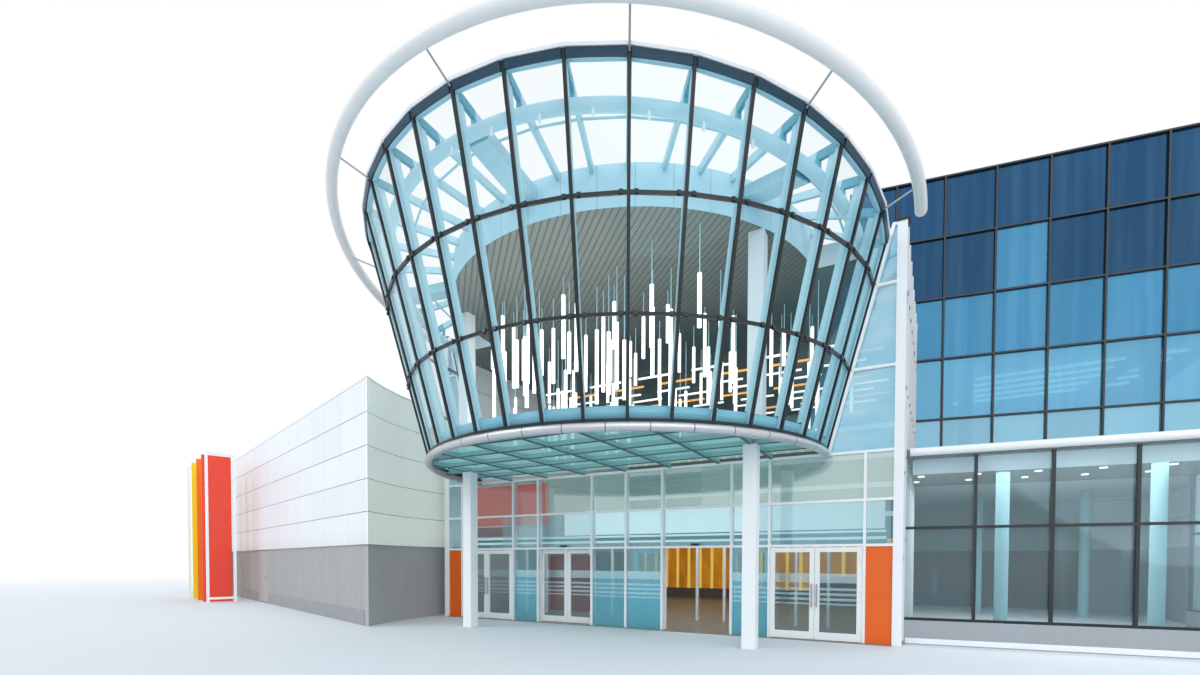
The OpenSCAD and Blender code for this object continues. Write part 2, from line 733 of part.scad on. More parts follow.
// Curved wall between two radii, in parts that meet at thin joints
module curved_wall(r, t, z0, z1) for (k = [0 : curve_parts - 1]) {
  a0 = corner_angle - k * part_angle - joint_angle;
  a1 = corner_angle - (k + 1) * part_angle;
  far = 1.2 * (r + t);
  intersection() {
    translate([0, 0, z0]) difference() {
      cylinder(r = r + t, h = z1 - z0, $fn = big_fn);
      translate([0, 0, -cut]) cylinder(r = r, h = z1 - z0 + 2 * cut, $fn = big_fn);
    }
    prism(z0 - cut, z1 + cut, k == 0
      ? [[0, 0], mitre_at(r), mitre_at(r + t + set_back), polar(a1, far)]
      : [[0, 0], polar(a0, far), polar(a1, far)]);
  }
}

// Return from the end of the curved wall to the hall wall
module tail_wall(r, z0, z1)
  span([-r, tail_back, z0], [-hall_out, tail_back + wall_t, z1]);

// Plan of the wing, inset from its outer faces
module wing_plan(z, h, inset) {
  r = (curve_r + inset) / cos(part_angle / 2);
  gap = wall_t + seat;
  tail_in = tail_back + gap;
  start = wall_start(-inset) + inset;
  front = corner + start * [-cos(wing_turn), sin(wing_turn)] + inset * [sin(wing_turn), cos(wing_turn)];
  back = [wing_end[0] + gap, wing_end[1] + inset / cos(wing_turn) - gap * tan(wing_turn)];
  prism(z, z + h, concat(
    [front, back, [back[0], depth - gap], [-hall_out - seat, depth - gap], [-hall_out - seat, tail_in],
     [-curve_r - inset - seat, tail_in]],
    [for (k = [curve_parts - 1 : -1 : 1]) polar(corner_angle - k * part_angle, r)]));
}
module wing_floor() color("silver") wing_plan(0, floor_t, set_back + wall_t + seat);

module wing_base() color("gray") along_wing() {
  long_wall(-set_back, -set_back - wall_t, 0, base_h, 0, service_at);
  long_wall(-set_back, -set_back - wall_t, 0, base_h, service_at + service_w, wing_len);
  for (z = service_hinge_zs) {
    translate([service_hinge, service_pin, z - seat - knuckle_h]) cylinder(r = knuckle_r, h = knuckle_h);
    span([service_hinge, -set_back, z - seat - knuckle_h],
         [service_hinge + strap_w, service_pin - hinge_lap, z - seat]);
  }
}

module wing_curved_base() color("gray") {
  curved_wall(curve_r + set_back, wall_t, 0, base_h);
  tail_wall(curve_r + set_back + wall_t, 0, base_h);
}

module wing_plinth() color(dark) along_wing() {
  long_wall(plinth_d - set_back, -set_back, 0, plinth_h, 2 * wall_t, service_at - wall_t);
  long_wall(plinth_d - set_back, -set_back, 0, plinth_h, service_at + service_w + wall_t, wing_len);
}

module wing_cladding() color(white) along_wing() long_wall(0, -wall_t, base_h, clad_top, 0, wing_len);

module wing_curved_cladding() color(white) {
  curved_wall(curve_r, wall_t, base_h, clad_top);
  tail_wall(curve_r + wall_t, base_h, clad_top);
}

module wing_back_walls() color(white) {
  x = wing_end[0] + wall_t;
  prism(0, clad_top, [wing_end, [x - seat, wing_end[1] - (wall_t - seat) * tan(wing_turn)], [x - seat, depth],
                      [wing_end[0], depth]]);
  span([x, depth - wall_t, 0], [-hall_out, depth, clad_top]);
}

module wing_roof() color("gray") wing_plan(clad_top - roof_drop - slab_t, slab_t, wall_t + seat);

module wing_cap() color(white) {
  along_wing() translate([cut, 0, 0]) long_wall(cap_out, -wall_t, clad_top, clad_top + cap_h, 0, wing_len);
  curved_wall(curve_r, wall_t, clad_top, clad_top + cap_h);
}

service_low = service_at + leaf_gap;
service_high = service_at + service_w - leaf_gap;
service_hinge = service_high + leaf_gap / 2;
service_pin = hinge_out - set_back;
service_hinge_zs = [300, 1100, 1800];

module service_door() color("gray") along_wing() {
  span([service_low, -set_back - service_t, leaf_low], [service_high, -set_back, base_h - head_gap]);
  for (z = service_hinge_zs) {
    translate([service_hinge, service_pin, z]) cylinder(r = knuckle_r, h = knuckle_h);
    span([service_high - strap_w, -set_back, z], [service_hinge, service_pin - hinge_lap, z + knuckle_h]);
  }
}

/* Fins */

fin_out = fins_gap + fin_w;
far_portal = fins_at + fin_first + 3 * fin_step;
function fin_at(k) = fins_at + fin_first + k * fin_step;

// Upright frame at a distance along the wall
module portal(t) {
  for (o = [fins_gap, fin_out - fin_post])
    span([t, o, 0], [t + fin_post, o + fin_post, fins_h]);
  for (z = [beam_z, fins_h - fin_post])
    span([t, fins_gap + fin_post + seat, z], [t + fin_post, fin_out - fin_post - seat, z + fin_post]);
}

module fin_portals() color(white) along_wing() {
  portal(fins_at);
  portal(far_portal);
}

module fin_ties() color(white) along_wing()
  for (t = [fins_at, fin_at(0), fin_at(1), fin_at(2), far_portal])
    span([t + tie_t / 2, -set_back, tie_z], [t + tie_t * 1.5, fins_gap, tie_z + tie_t]);

module fin(k) span([fin_at(k), fins_gap, 0], [fin_at(k) + fin_t, fin_out, fins_h]);
module red_fin() color("red") along_wing() fin(0);
module orange_fin() color("orange") along_wing() fin(1);
module yellow_fin() color("yellow") along_wing() fin(2);

/* Blue block */

block_low = pavilion_h;
frame_low = block_low + seat;
block_top = block_low + panel_rows * panel_h;
panel_ts = [for (i = [-2 : 5]) panel_shift + i * panel_w];
block_start = panel_ts[0];
block_end = panel_ts[7];
block_left = hall_out + block_start * cos(block_turn);
block_right = hall_out + block_end * cos(block_turn);

// Coordinates of the blue front: x along it, y inwards
module along_block() translate([hall_out, block_y, 0]) rotate([0, 0, block_turn]) children();

// Line of the blue front at x, moved inwards
function block_line(x, deep) = block_y + (x - hall_out) * tan(block_turn) + deep / cos(block_turn);

// Upright sheet along the blue front, cut across at x0 and x1, between two depths
module block_sheet(x0, x1, d0, d1, z0, z1) prism(z0, z1, [
  [x0, block_line(x0, d0)], [x1, block_line(x1, d0)], [x1, block_line(x1, d1)], [x0, block_line(x0, d1)]]);

module block_mullions() color(dark) along_block() for (i = [0 : 7])
  span([panel_ts[i] - block_bar_w / 2, -block_bar_d, i < 2 ? front_top + seat : frame_low],
       [panel_ts[i] + block_bar_w / 2, 0, block_top]);

// Level of transom k, inside the height of the block
function block_level(k) = min(max(block_low + k * panel_h - block_bar_w / 2, frame_low),
  block_top - block_bar_w);

// Start of a transom in bay i: the hall wall cuts the second bay short below the hall's top
function transom_start(i, z) = i == 1 && z < front_top ? seat : panel_ts[i] + block_bar_w / 2;

module block_transoms() color(dark) along_block()
  for (i = [0 : 6], k = [0 : panel_rows])
    if (i > 0 || block_level(k) > front_top)
      span([transom_start(i, block_level(k)), -block_bar_d, block_level(k)],
           [panel_ts[i + 1] - block_bar_w / 2, 0, block_level(k) + block_bar_w]);

module block_glass() color("steelblue", 0.5) {
  block_sheet(hall_out + seat, block_right, 0, glass_t, block_low, front_top);
  block_sheet(block_left, block_right, 0, glass_t, front_top + seat, block_top);
}

wall_back = depth - wall_t - seat;
wall_front = glass_t + seat;

// Plan behind the blue glass between x0 and x1
function block_plan(x0, x1) = [
  [x0, block_line(x0, wall_front)], [x1, block_line(x1, wall_front)], [x1, wall_back], [x0, wall_back]];

module block_walls() color(white) {
  prism(0, block_top, block_plan(block_right - wall_t, block_right));
  prism(front_top, block_top, block_plan(block_left, block_left + wall_t));
  span([hall_out, depth - wall_t, 0], [block_right, depth, block_top]);
  span([block_left, depth - wall_t, front_top], [hall_out - seat, depth, block_top]);
  block_sheet(side_x + seat, block_right - wall_t - seat, wall_front, wall_front + wall_t,
              floor_t, slab_low(0));
}

function slab_low(k) = block_low + k * panel_h - slab_t;
module block_slabs() color("lightgray") {
  right = block_right - wall_t - seat;
  prism(0, floor_t, block_plan(hall_out + seat, right));
  for (k = [0, 2])
    prism(slab_low(k), slab_low(k) + slab_t, block_plan(hall_out + seat, right));
  for (k = [4, 5])
    prism(slab_low(k), slab_low(k) + slab_t, block_plan(block_left + wall_t + seat, right));
}
module inner_columns() color(white)
  for (x = [hall_out + inner_columns_x, hall_out + inner_columns_x + inner_columns_step])
    for (y = [(pavilion_y + block_y) / 2, (block_y + depth) / 2])
      translate([x, y, floor_t]) cylinder(r = inner_column_r, h = slab_low(0) - floor_t);

/* Pavilion */

pavilion_len = pavilion_bays * pavilion_bay;
side_x = hall_out + pavilion_len * cos(pavilion_turn);

// Coordinates of the pavilion front: x along it, y inwards
module along_pavilion() translate([hall_out, pavilion_y, 0]) rotate([0, 0, pavilion_turn]) children();

// Line of the pavilion front at x, moved inwards
function front_line(x, deep) = pavilion_y + (x - hall_out) * tan(pavilion_turn) + deep / cos(pavilion_turn);

// Upright sheet along the pavilion front, cut across at x0 and x1, between two depths
module front_sheet(x0, x1, d0, d1, z0, z1) prism(z0, z1, [
  [x0, front_line(x0, d0)], [x1, front_line(x1, d0)], [x1, front_line(x1, d1)], [x0, front_line(x0, d1)]]);

// Upright sheet along the pavilion's side, from a depth behind its front to the blue block
module side_sheet(x0, x1, d, z0, z1) prism(z0, z1, [
  [x0, front_line(x0, d)], [x1, front_line(x1, d)], [x1, block_line(x1, wall_front - seat)],
  [x0, block_line(x0, wall_front - seat)]]);

// Plan of the pavilion, from the hall wall to x1 and from a depth behind its front to the blue block
module pavilion_area(x1, d, z0, z1) prism(z0, z1, [
  [hall_out + seat, front_line(hall_out, d)], [x1, front_line(x1, d)],
  [x1, block_line(x1, glass_t)], [hall_out + seat, block_line(hall_out, glass_t)]]);

bar_in = side_x - pavilion_bar_d;
pane_x = bar_in - glass_t;
skin_d = pavilion_bar_d + glass_t;
pane_back = skin_d + seat;
pavilion_low = pavilion_h - slab_t;

module pavilion_floor() color("silver") pavilion_area(pane_x - seat, pane_back, 0, floor_t);

module pavilion_plinth() color("gray") {
  front_sheet(hall_out + seat, side_x + ledge_d, -ledge_d, skin_d, 0, sill_h);
  side_sheet(pane_x, side_x + ledge_d, pane_back, 0, sill_h);
}
first_bar = pavilion_bar_d * tan(pavilion_turn) + seat;
function bar_from(i) = i == 0 ? first_bar
  : i == pavilion_bays ? pavilion_len - pavilion_bar_d : i * pavilion_bay - bar_w / 2;
function bar_to(i) = i == pavilion_bays ? pavilion_len : i * pavilion_bay + bar_w / 2;
side_from = front_line(side_x, pane_back);
side_step = (block_line(bar_in, -seat) - side_from) / side_bays;

module pavilion_mullions() color(dark) {
  along_pavilion() for (i = [0 : pavilion_bays])
    span([bar_from(i), 0, sill_h], [bar_to(i), pavilion_bar_d, pavilion_low]);
  for (j = [1 : side_bays])
    span([bar_in, side_from + j * side_step - bar_w, sill_h],
         [side_x, side_from + j * side_step, pavilion_low]);
}

module pavilion_transoms() color(dark) for (z = [sill_h, pavilion_mid]) {
  along_pavilion() for (i = [0 : pavilion_bays - 1])
    span([bar_to(i), 0, z], [bar_from(i + 1), pavilion_bar_d, z + bar_w]);
  for (j = [0 : side_bays - 1])
    span([bar_in, side_from + j * side_step, z], [side_x, side_from + (j + 1) * side_step - bar_w, z + bar_w]);
}

module pavilion_glass() color(clear, 0.4) {
  front_sheet(hall_out + seat, bar_in - seat, pavilion_bar_d + seat, skin_d, sill_h, pavilion_low);
  side_sheet(pane_x, bar_in - seat, pane_back, sill_h, pavilion_low);
}

module pavilion_roof() color("gray") pavilion_area(side_x, 0, pavilion_low, pavilion_h);

module pavilion_rail() color(white) along_pavilion()
  translate([rail_r, -rail_r - seat, pavilion_h - rail_r]) rotate([0, 90, 0])
    cylinder(r = rail_r, h = pavilion_len - rail_r);

hall_floor();
front_mullions();
front_transoms();
front_glass();
end_panels();
end_posts();
door_tracks();
left_slider_a();
left_slider_b();
right_slider_a();
right_slider_b();
left_swing_a();
left_swing_b();
right_swing_a();
right_swing_b();
hall_left_wall();
louvre_wall();
hall_rear_wall();
hall_roof();
roof_drum();
columns();
cone_hoop();
soffit_beams();
soffit_glass();
cone_ribs();
cone_bands();
cone_rim();
cone_glass();
rafters();
rafter_ring();
halo();
halo_struts();
wing_floor();
wing_base();
wing_curved_base();
wing_plinth();
wing_cladding();
wing_curved_cladding();
wing_back_walls();
wing_roof();
wing_cap();
service_door();
fin_portals();
fin_ties();
red_fin();
orange_fin();
yellow_fin();
block_mullions();
block_transoms();
block_glass();
block_walls();
block_slabs();
inner_columns();
pavilion_floor();
pavilion_plinth();
pavilion_mullions();
pavilion_transoms();
pavilion_glass();
pavilion_roof();
pavilion_rail();
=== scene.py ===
# %% [markdown]
# A glazed supermarket entrance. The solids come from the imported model, in metres, with the origin on
# the ground under the axis of the glass cone, X along the front, Y into the building and Z up.
# This script only dresses them: it adds the thin pieces that are too many or too fine for solids,
# and gives each surface its finish.

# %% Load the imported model
import math

import bmesh
import bpy
from mathutils import Matrix, Vector


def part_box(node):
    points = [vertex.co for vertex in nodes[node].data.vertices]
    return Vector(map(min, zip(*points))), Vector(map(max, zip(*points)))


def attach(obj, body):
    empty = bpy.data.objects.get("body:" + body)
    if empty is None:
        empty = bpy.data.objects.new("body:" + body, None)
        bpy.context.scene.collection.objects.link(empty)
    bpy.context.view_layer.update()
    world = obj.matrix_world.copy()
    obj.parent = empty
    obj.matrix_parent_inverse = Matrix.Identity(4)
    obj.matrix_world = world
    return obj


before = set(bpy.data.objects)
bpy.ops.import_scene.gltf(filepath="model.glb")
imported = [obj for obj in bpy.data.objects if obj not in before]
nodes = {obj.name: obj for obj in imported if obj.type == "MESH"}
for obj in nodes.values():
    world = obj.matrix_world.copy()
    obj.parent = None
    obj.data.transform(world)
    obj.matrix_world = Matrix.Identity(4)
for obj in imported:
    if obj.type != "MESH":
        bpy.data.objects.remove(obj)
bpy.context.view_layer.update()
BUILDING = "building"

# %% [markdown]
# The camera stands at eye level, 14 m in front of the doors and 7 m to the right. The wide lens looks
# almost level, and the frame is shifted up, as a view camera does to keep the uprights parallel. A
# shift is better here than a tilt, because a tilt would make every mullion lean.

# %% Camera
EYE = Vector((7.079, -14.099, 1.880))
TURN_LEFT = 0.50996
PITCH = -0.02406
ROLL = 0.00237
FOCAL = 16.872
SENSOR = 36.0
SHIFT_UP = 0.1976
FAR_CLIP = 1000


def add(name, data):
    """A new object in the scene."""
    made = bpy.data.objects.new(name, data)
    bpy.context.scene.collection.objects.link(made)
    return made


camera = add("front_camera", bpy.data.cameras.new("front_camera"))
camera.data.lens = FOCAL
camera.data.sensor_width = SENSOR
camera.data.shift_y = SHIFT_UP
camera.data.clip_end = FAR_CLIP
camera.matrix_world = (Matrix.Translation(EYE) @ Matrix.Rotation(TURN_LEFT, 4, "Z")
                       @ Matrix.Rotation(math.pi / 2 + PITCH, 4, "X") @ Matrix.Rotation(ROLL, 4, "Z"))
bpy.context.scene.camera = camera
bpy.context.scene.view_settings.view_transform = "Standard"
print("lens:", FOCAL, "mm")

# %% [markdown]
# The driving sizes, in metres. Each follows the real building: the cone widens by 0.262 for each
# metre of height, and the wing, the blue block and the low pavilion each turn away from the front by
# their own angle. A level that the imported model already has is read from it, so that both agree.

# %% Sizes of the building
HALL_OUT = 6.85
FRONT_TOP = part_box("end_posts")[1].z
DOOR_HEAD = 2.26
MID_LEVEL = 3.29
CANOPY = 4.38
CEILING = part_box("roof_drum")[0].z
CONE_R = 5.26
CONE_SLOPE = 0.262
RIM_LEVEL = 9.02
RIM_SLOPE = 0.16
FACETS = 20
FACET_ANGLE = math.pi / FACETS
CURVE_R = 7.24
CORNER_ANGLE = math.radians(28.5)
WING_TURN = math.radians(18)
WING_CORNER = Vector((-CURVE_R * math.cos(CORNER_ANGLE), -CURVE_R * math.sin(CORNER_ANGLE), 0))
BASE_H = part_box("wing_base")[1].z
ROW_H = 0.932
TRAY_LEN = 2.94
GAP = 0.016
BLOCK_TURN = math.radians(8.6)
BLOCK_Y = 6.69
BLOCK_LOW = 4.5
PAVILION_TURN = math.radians(5.9)
PAVILION_Y = 0.9
print("front top:", round(FRONT_TOP, 3), "ceiling:", round(CEILING, 3), "base:", round(BASE_H, 3))


# %% [markdown]
# Each part of the building has its own handy coordinates. These small functions turn them into
# places: along the wing's long wall, round its curved end, round the cone, along the blue front and
# along the pavilion. Turned objects could do the same, but then each mesh would have its own axes.

# %% Places in each part's own coordinates
def plain(x, y, z):
    return Vector((x, y, z))


def wing(t, out, z):
    along = Vector((-math.cos(WING_TURN), math.sin(WING_TURN), 0))
    outward = Vector((-math.sin(WING_TURN), -math.cos(WING_TURN), 0))
    return WING_CORNER + along * t + outward * out + Vector((0, 0, z))


def curve(angle, depth, z):
    radius = CURVE_R + depth
    return Vector((-radius * math.cos(angle), -radius * math.sin(angle), z))


def cone_radius(z):
    return CONE_R + CONE_SLOPE * (z - CANOPY)


def cone(angle, depth, z):
    radius = cone_radius(z) - depth
    return Vector((radius * math.sin(angle), -radius * math.cos(angle), z))


def turned(x, deep, z, start_y, turn):
    return Vector((HALL_OUT + x * math.cos(turn) - deep * math.sin(turn),
                   start_y + x * math.sin(turn) + deep * math.cos(turn), z))


def blue(x, deep, z):
    return turned(x, deep, z, BLOCK_Y, BLOCK_TURN)


def low_front(x, deep, z):
    return turned(x, deep, z, PAVILION_Y, PAVILION_TURN)


def rim_z(angle):
    """Level of the tilted rim at an angle round the cone."""
    lean = RIM_SLOPE * math.cos(angle)
    return (RIM_LEVEL + lean * (CONE_R - CONE_SLOPE * CANOPY)) / (1 - lean * CONE_SLOPE)


print("rim:", round(rim_z(math.pi / 2), 2), "m at the front wall and", round(rim_z(0), 2), "m at the tip")

# %% [markdown]
# Most of the added pieces are bars, strips and plates. A cube could be scaled and moved for each, but
# a block between two corners, given in its part's own coordinates, also bends and leans with the
# part. Sections in a row are closed into one skin for the few pieces that are round or bent.

# %% Blocks and pieces
SIDES = ((0, 1, 3, 2), (4, 6, 7, 5), (0, 4, 5, 1), (2, 3, 7, 6), (0, 2, 6, 4), (1, 5, 7, 3))


def span(across, deep, up):
    """The low and the high corner of a block, from its two limits in each direction."""
    return tuple(zip(across, deep, up))


def block(shape, place, low, high):
    """A six-sided block between two corners given in a part's own coordinates."""
    corners = [shape.verts.new(place(u, v, w)) for u in (low[0], high[0])
               for v in (low[1], high[1]) for w in (low[2], high[2])]
    for side in SIDES:
        shape.faces.new([corners[i] for i in side])


def skin(shape, sections):
    """Closes a run of sections, each a ring of vertices, into one solid."""
    for near, far in zip(sections, sections[1:]):
        for j in range(len(near)):
            k = (j + 1) % len(near)
            shape.faces.new((near[j], near[k], far[k], far[j]))
    shape.faces.new(sections[0])
    shape.faces.new(list(reversed(sections[-1])))


def seat(made, body):
    """Lets a finished object ride on a body."""
    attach(made, body)
    print(made.name + ":", len(made.data.polygons), "faces")


def piece(name, shape, material, body=BUILDING, edge=0.0):
    """Turns a bmesh into an object that rides on a body, with its edges eased by a small bevel."""
    bmesh.ops.recalc_face_normals(shape, faces=shape.faces)
    if edge:
        bmesh.ops.bevel(shape, geom=shape.edges, offset=edge, segments=1, affect="EDGES")
    made = add(name, bpy.data.meshes.new(name))
    shape.to_mesh(made.data)
    shape.free()
    made.data.materials.append(material)
    seat(made, body)


def blocks(name, place, spans, material, body=BUILDING, edge=0.0):
    """One piece of several blocks in the same coordinates."""
    shape = bmesh.new()
    for low, high in spans:
        block(shape, place, low, high)
    piece(name, shape, material, body, edge)


print("limits to corners:", span((0, 1), (0, 2), (0, 3)))

# %% [markdown]
# A node tree is easier to read as a sum than as a list of links. A socket is wrapped in a small class
# whose operators add Math nodes, so that 1 - mask * 2 means what it says. The same class serves the
# shaders and the trees that make geometry.

# %% Sums on sockets
class Value:
    def __init__(self, graph, socket):
        self.graph = graph
        self.socket = socket

    def __add__(self, other):
        return self.graph.math("ADD", self, other)

    def __sub__(self, other):
        return self.graph.math("SUBTRACT", self, other)

    def __rsub__(self, other):
        return self.graph.math("SUBTRACT", other, self)

    def __mul__(self, other):
        return self.graph.math("MULTIPLY", self, other)

    def __truediv__(self, other):
        return self.graph.math("DIVIDE", self, other)

    def __pow__(self, other):
        return self.graph.math("POWER", self, other)

    def __gt__(self, other):
        return self.graph.math("GREATER_THAN", self, other)

    def __lt__(self, other):
        return self.graph.math("LESS_THAN", self, other)

    __radd__ = __add__
    __rmul__ = __mul__

    def floor(self):
        return self.graph.math("FLOOR", self)

    def fraction(self):
        return self.graph.math("FRACT", self)

    def between(self, low, high):
        return (self > low) * (self < high)


class Graph:
    """Nodes of one tree, made from a type, its settings and the values of its sockets."""
    def node(self, kind, settings=None, inputs=None, out=0):
        made = self.tree.nodes.new(kind)
        for key, value in (settings or {}).items():
            setattr(made, key, value)
        for key, value in (inputs or {}).items():
            self.feed(made.inputs[key], value)
        return Value(self, made.outputs[out])

    def feed(self, socket, value):
        if isinstance(value, Value):
            self.tree.links.new(value.socket, socket)
        elif socket.type == "RGBA":
            socket.default_value = (*value, 1.0)
        else:
            socket.default_value = value

    def math(self, operation, a, b=None):
        inputs = {0: a} if b is None else {0: a, 1: b}
        return self.node("ShaderNodeMath", {"operation": operation}, inputs)

    def join(self, x=0.0, y=0.0, z=0.0):
        return self.node("ShaderNodeCombineXYZ", inputs={0: x, 1: y, 2: z})


print("operators on sockets: + - * / ** > <")

# %% [markdown]
# Every finish starts as a Principled surface on Object coordinates, which are metres here, so that a
# panel joint or a streak keeps its real size. An image could be wrapped on instead, but it would
# blur on walls of this size. The masks are 1 where something shows and 0 elsewhere.

# %% Finishes
def tone(red, green, blue_part):
    """A colour given as it looks on screen, from 0 to 255, as linear light."""
    shares = [value / 255 for value in (red, green, blue_part)]
    return tuple(s / 12.92 if s <= 0.04045 else ((s + 0.055) / 1.055) ** 2.4 for s in shares)


BLACK = (0.0, 0.0, 0.0)
WHITE = (1.0, 1.0, 1.0)


class Finish(Graph):
    def __init__(self, name):
        self.material = bpy.data.materials.new(name)
        self.material.use_nodes = True
        self.tree = self.material.node_tree
        self.tree.nodes.clear()
        self.place = self.node("ShaderNodeTexCoord", out="Object")
        self.x, self.y, self.z = (self.part(self.place, i) for i in range(3))

    def part(self, vector, index):
        """One of the three numbers of a vector."""
        return self.node("ShaderNodeSeparateXYZ", inputs={0: vector}, out=index)

    def normal(self):
        return self.node("ShaderNodeNewGeometry", out="Normal")

    def toward(self, direction):
        """1 where the surface faces a direction."""
        inputs = {0: self.normal(), 1: direction}
        return self.node("ShaderNodeVectorMath", {"operation": "DOT_PRODUCT"}, inputs, out=1) > 0.9

    def reach(self):
        """Distance from the axis of the cone."""
        return self.math("SQRT", self.x * self.x + self.y * self.y)

    def noise(self, scale, stretch=(1, 1, 1), detail=3.0):
        spread = self.node("ShaderNodeVectorMath", {"operation": "MULTIPLY"}, {0: self.place, 1: stretch})
        return self.node("ShaderNodeTexNoise", inputs={"Vector": spread, "Scale": scale, "Detail": detail})

    def dice(self, column, row):
        """A random number for each panel, from its column and its row."""
        panel = self.join(column + 0.5, row + 0.5)
        return self.node("ShaderNodeTexWhiteNoise", {"noise_dimensions": "2D"}, {"Vector": panel})

    def ramp(self, value, low, high, **settings):
        """Rises from 0 at low to 1 at high."""
        return self.node("ShaderNodeMapRange", settings, {"Value": value, "From Min": low, "From Max": high})

    def either(self, a, b):
        """The larger of two masks or shares."""
        return self.math("MAXIMUM", a, b)

    def mix(self, factor, a, b):
        return self.node("ShaderNodeMix", {"data_type": "RGBA"}, {0: factor, 6: a, 7: b}, out=2)

    def shade(self, colour, amount):
        """The colour, darker where amount is near 1."""
        return self.mix(amount, colour, BLACK)

    def line(self, value, pitch, width):
        """1 on thin lines that repeat at a pitch, and 0 between them."""
        return (value / pitch).fraction() < width / pitch

    def bump(self, height, distance):
        return self.node("ShaderNodeBump", inputs={"Strength": 1.0, "Distance": distance, "Height": height})

    def principled(self, **inputs):
        named = {key.replace("_", " "): value for key, value in inputs.items()}
        return self.node("ShaderNodeBsdfPrincipled", inputs=named)

    def blend(self, factor, first, second):
        """The first surface where the factor is 0, and the second where it is 1."""
        return self.node("ShaderNodeMixShader", inputs={0: factor, 1: first, 2: second})

    def close(self, surface):
        out = self.tree.nodes.new("ShaderNodeOutputMaterial")
        self.feed(out.inputs["Surface"], surface)
        print(self.material.name + ":", len(self.tree.nodes), "nodes")
        return self.material

    def coat(self, colour, roughness, **inputs):
        """Ends the finish as one plain coat."""
        return self.close(self.principled(Base_Color=colour, Roughness=roughness, **inputs))


print("middle grey as light:", [round(share, 3) for share in tone(128, 128, 128)])

# %% [markdown]
# Broad soft noise shifts the tone of a painted sheet a little, drawn-out noise leaves streaks, and a
# finer one breaks up the gloss, because no painted metal is even. One function mixes them, and each
# paint only gives its colour and how much soil it carries.

# %% Painted metal
GRAIN = 0.0008


def painted(name, colour, roughness=0.45, metallic=0.0, soil=0.10):
    finish = Finish(name)
    broad = finish.noise(0.7)
    streaks = finish.noise(6.0, (1, 1, 0.08))
    base = finish.shade(colour, broad * soil + streaks * streaks * soil)
    rough = roughness + (finish.noise(18.0) - 0.5) * 0.18
    return finish.coat(base, rough, Metallic=metallic, Normal=finish.bump(finish.noise(90.0), GRAIN))


white_paint = painted("white_paint", tone(241, 244, 247), soil=0.07)
halo_paint = painted("halo_paint", tone(228, 230, 230), roughness=0.35, soil=0.05)
dark_metal = painted("dark_metal", tone(26, 36, 45), roughness=0.35, soil=0.2)
pale_blue = painted("pale_blue_paint", tone(200, 232, 242), roughness=0.4, soil=0.05)
grey_metal = painted("grey_metal", tone(176, 178, 180), roughness=0.5)
steel = painted("strut_steel", tone(170, 176, 182), roughness=0.3, metallic=0.8)
orange_panel = painted("orange_panel", tone(232, 98, 4), roughness=0.4, soil=0.04)
red_fin = painted("red_fin", tone(240, 70, 48), roughness=0.35, soil=0.05)
orange_fin = painted("orange_fin", tone(246, 126, 20), roughness=0.35, soil=0.05)
yellow_fin = painted("yellow_fin", tone(248, 218, 36), roughness=0.35, soil=0.05)
ledge_stone = painted("ledge_stone", tone(162, 168, 174), roughness=0.6)

# %% [markdown]
# The silver tube along the foot of the cone is rolled in lengths and welded, so it shows a thin dark
# seam at each mullion. Cutting the tube would make twenty solids of one, so the finish draws the
# seams, by the angle round the axis of the cone.

# %% Silver tube with its seams
SEAM = 0.004


def around(finish, centre_y=0.0):
    """Angle round the axis of the cone, or round a centre behind it, 0 straight to the front."""
    return finish.math("ARCTAN2", finish.x, centre_y - finish.y)


def seamed_tube():
    finish = Finish("silver_tube")
    seam = finish.line(around(finish) + 0.5 * FACET_ANGLE, FACET_ANGLE, SEAM)
    brushed = finish.noise(40.0, (0.3, 0.3, 3.0))
    base = finish.shade(tone(204, 207, 212), seam * 0.6 + brushed * 0.12)
    return finish.coat(base, 0.28 + brushed * 0.15, Metallic=0.75, Normal=finish.bump(1 - seam, SEAM))


silver_tube = seamed_tube()

# %% [markdown]
# A mullion of the cone has two parts: a narrow dark cap outside the glass, and a pale blue fin behind
# it. Both lie in one solid, so the finish changes with the depth behind the surface of the cone. The
# rail along the rim and the rafters change in the same way.

# %% Mullions of the cone
CAP_DEPTH = 0.055
RIM_CAP = 0.03
RAFTER_END = 0.55


def two_part(name, cap, depth):
    finish = Finish(name)
    inner = CONE_R + CONE_SLOPE * (finish.z - CANOPY) - finish.reach() > depth
    wear = finish.noise(12.0, (1, 1, 0.2))
    base = finish.shade(finish.mix(inner, cap, tone(188, 224, 236)), wear * 0.18)
    bump = finish.bump(finish.noise(70.0), 0.0006)
    return finish.coat(base, 0.3 + wear * 0.2, Metallic=0.1, Normal=bump)


cone_mullion = two_part("cone_mullion", tone(12, 28, 34), CAP_DEPTH)
rim_metal = two_part("rim_metal", tone(16, 62, 84), RIM_CAP)
rafter_paint = two_part("rafter_paint", tone(96, 172, 192), RAFTER_END)

# %% [markdown]
# Glass is mostly what is behind it. A clear shader tinted a little on each face lets the light
# through, and a glossy film takes over at a glancing angle, as real panes do. A full glass shader
# would bend light twice in each thin pane for no visible gain, and would darken the hall.

# %% Clear glass
GLANCE_POWER = 4.0
GLANCE_SHARE = 0.85


def pane(finish, tint, film, gloss, least, roughness=0.03, sheen=0.5, glow=0.0):
    """Tinted clear glass under a film that is never thinner than least, and grows at a glance."""
    facing = finish.node("ShaderNodeLayerWeight", inputs={"Blend": 0.5}, out="Facing")
    share = finish.either(gloss + (GLANCE_SHARE - gloss) * facing ** GLANCE_POWER, least)
    clear = finish.node("ShaderNodeBsdfTransparent", inputs={"Color": tint})
    # glow makes the film give off a little light of its own: painted light, where there is no lamp.
    coat = finish.principled(Base_Color=film, Roughness=roughness, Metallic=0.55, Specular_IOR_Level=sheen,
                             Emission_Color=film, Emission_Strength=glow)
    return finish.blend(share, clear, coat)


